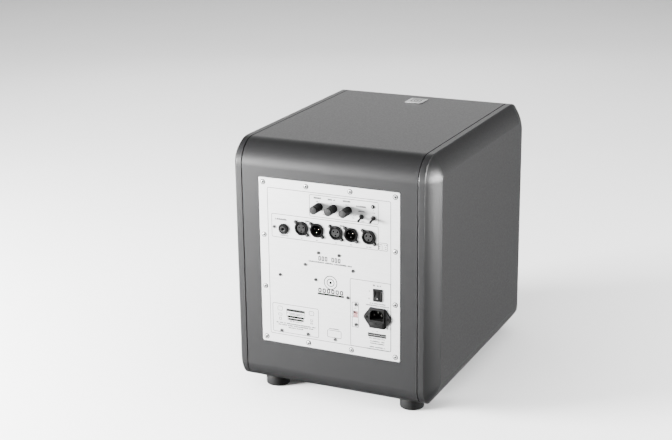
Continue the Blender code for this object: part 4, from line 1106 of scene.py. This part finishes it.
def build_electronics():
    """The amplifier's chassis, circuit board and transformer, behind the plate."""
    middle, (width, height), low, high = span("amp_chassis")
    sheet = 1.6
    bm = slab(rounded(middle, width, height, 8, 8), low, high)
    soften(bm, 1.2, 3, 60)
    inside = rounded(middle, width - 2 * sheet, height - 2 * sheet, 7, 8)
    bm = carve(bm, [slab(inside, low + sheet, high + 5)])
    make("chassis_tray", bm, "steel", "amp_chassis", angle=35)
    middle, (width, height), low, high = span("circuit_board")
    bm = slab(rounded(middle, width, height, 2, 4), low, high)
    holes = bmesh.new()
    for side in (-1, 1):
        for end in (-1, 1):
            spot = (middle[0] + side * 101, middle[1] + end * 64)
            slab(circle(spot, 1.7, 24), low - 1, high + 1, holes)
    bm = carve(bm, [holes])
    make("circuit_sheet", bm, "circuit", "circuit_board")
    middle, (width, _height), low, high = span("transformer")
    outer, inner = width / 2, 16
    centre = on_plate(*middle, (low + high) / 2)
    profile = []
    for point in circle((0, 0), 1.0, 32):
        a, b = [math.copysign(abs(value) ** 0.55, value) for value in point]
        profile.append(((outer + inner + (outer - inner) * a) / 2, (low + high + (high - low) * b) / 2))
    bm = turned(profile, middle, 96)
    for vert in bm.verts:
        away = vert.co - centre
        turn, radius = math.atan2(away.z, away.x), math.hypot(away.z, away.x)
        lift = 1 - 0.006 * (1 + math.cos(turn * 24 + radius * 900)) / 2
        vert.co.y = centre.y + away.y * lift
    make("toroid_wrap", bm, "tape", "transformer", angle=60)


build_wrap()
build_side("side_skin_left", "side_panel_left", -1)
build_side("side_skin_right", "side_panel_right", 1)
for build in (
    build_shelf, build_feet, build_badge, build_trim, build_flange, build_driver_screws, build_surround,
    build_cone, build_dome, build_motor, build_plate, build_plate_screws, build_cap_screws, build_print,
    build_knobs, build_toggles, build_sockets, build_jack, build_rocker, build_inlet, build_selector,
    build_lamp, build_electronics,
):
    build()

# ---------------------------------------------------------------- stage, light and camera, in metres

FLOOR_SIZE, FLOOR_HEIGHT = 28.0, -0.0006
WALL_RADIUS, WALL_FOOT, WALL_TOP = 7.5, -0.01, 9.0
# Each lobe of the surroundings: direction, the cosines where it starts and ends, and its two levels.
WORLD_LOBES = (
    ((0, 0, 1), 0.35, 0.75, 0.12, 0.05),
    ((0.5, -0.82, 0.28), 0.80, 0.98, 0.0, 0.3),
    ((-0.33, -0.88, -0.34), 0.80, 0.98, 0.0, 0.35),
)
# Each light: name, place, target, its two sides, power, and whether glossy surfaces mirror it.
LIGHTS = (
    ("floor_wash", (0.5, 2.4, 2.8), (0, 0.2, 0), (2.4, 2.4), 90, False),
    ("overhead", (0, 0, 3.6), (0, 0, 0), (9.0, 9.0), 520, False),
    ("key_left", (2.1, 1.55, 0.46), (0, 0.1, 0.25), (1.1, 0.7), 1080, True),
    ("rim_right", (-2.2, -0.5, 0.32), (0, 0, 0.2), (1.3, 0.5), 215, True),
    ("front_soft", (1.35, -2.4, 1.35), (0, 0, 0.25), (2.2, 1.8), 13, True),
)
CAMERA_AT = (-1.021, 2.373, 1.089)
CAMERA_AZIMUTH, CAMERA_PITCH, CAMERA_ROLL = 205.24, 17.35, -0.73
SENSOR = 36.0
FOCAL = 1431.0 / 672.0


def stage_piece(name, bm, shader):
    """A piece of the studio, which glossy surfaces don't mirror."""
    mesh = bpy.data.meshes.new(name)
    bm.to_mesh(mesh)
    bm.free()
    mesh.materials.append(shader.material)
    item = bpy.data.objects.new(name, mesh)
    bpy.context.scene.collection.objects.link(item)
    item.visible_glossy = False
    return item


def make_floor():
    bm = bmesh.new()
    bm.faces.new([bm.verts.new((a, b, 0)) for a, b in rectangle((0, 0), FLOOR_SIZE, FLOOR_SIZE)])
    floor = stage_piece("studio_floor", bm, Shader("floor_paper", 0.88, 0.7).mottle(2, 0.01))
    floor.location = (0, 0, FLOOR_HEIGHT)


def make_wall():
    """A pale wall far round the floor that shows behind the object and lights nothing."""
    bm = bmesh.new()
    rings = []
    for height in (WALL_FOOT, WALL_TOP):
        rings.append([bm.verts.new((a, b, height)) for a, b in circle((0, 0), WALL_RADIUS, 96)])
    bridge(bm, rings[0], rings[1])
    shader = Shader("wall_paper", 0.0, 1.0, 0.0, 0.0)
    shader.bsdf.inputs["Emission Color"].default_value = (1.0, 1.0, 1.0, 1.0)
    shader.bsdf.inputs["Emission Strength"].default_value = 0.75
    wall = stage_piece("studio_wall", bm, shader)
    wall.visible_diffuse = False
    wall.visible_shadow = False


def area_light(name, at, target, size, power, glossy):
    data = bpy.data.lights.new(name, "AREA")
    data.shape = "RECTANGLE"
    data.size, data.size_y = size
    data.energy = power
    item = bpy.data.objects.new(name, data)
    item.location = at
    item.rotation_euler = (Vector(target) - Vector(at)).to_track_quat("-Z", "Y").to_euler()
    item.visible_camera = False
    item.visible_glossy = glossy
    bpy.context.scene.collection.objects.link(item)


def make_world():
    """Dim surroundings that get darker overhead, with two soft lobes in front of the object."""
    world = bpy.data.worlds.new("studio")
    bpy.context.scene.world = world
    world.use_nodes = True
    tree = world.node_tree
    background = tree.nodes["Background"]
    place = tree.nodes.new("ShaderNodeTexCoord")
    total = None
    for direction, start, end, low, high in WORLD_LOBES:
        dot = tree.nodes.new("ShaderNodeVectorMath")
        dot.operation = "DOT_PRODUCT"
        dot.inputs[1].default_value = Vector(direction).normalized()
        tree.links.new(place.outputs["Generated"], dot.inputs[0])
        lobe = tree.nodes.new("ShaderNodeMapRange")
        lobe.interpolation_type = "SMOOTHSTEP"
        for name, value in (("From Min", start), ("From Max", end), ("To Min", low), ("To Max", high)):
            lobe.inputs[name].default_value = value
        tree.links.new(dot.outputs["Value"], lobe.inputs["Value"])
        if total is None:
            total = lobe.outputs["Result"]
            continue
        add = tree.nodes.new("ShaderNodeMath")
        tree.links.new(total, add.inputs[0])
        tree.links.new(lobe.outputs["Result"], add.inputs[1])
        total = add.outputs["Value"]
    tree.links.new(total, background.inputs["Color"])
    background.inputs["Strength"].default_value = 1.0


def make_camera():
    data = bpy.data.cameras.new("studio_camera")
    data.sensor_width = SENSOR
    data.lens = SENSOR * FOCAL
    data.clip_end = 60.0
    camera = bpy.data.objects.new("studio_camera", data)
    azimuth, pitch, roll = [math.radians(turn) for turn in (CAMERA_AZIMUTH, CAMERA_PITCH, CAMERA_ROLL)]
    flat = math.cos(pitch)
    back = Vector((math.sin(azimuth) * flat, -math.cos(azimuth) * flat, math.sin(pitch)))
    right = Vector((math.cos(azimuth), math.sin(azimuth), 0.0))
    up = back.cross(right)
    turned_right = right * math.cos(roll) + up * math.sin(roll)
    turned_up = up * math.cos(roll) - right * math.sin(roll)
    camera.location = CAMERA_AT
    camera.rotation_euler = Matrix((turned_right, turned_up, back)).transposed().to_euler()
    bpy.context.scene.collection.objects.link(camera)
    bpy.context.scene.camera = camera


make_floor()
make_wall()
make_world()
for light in LIGHTS:
    area_light(*light)
make_camera()
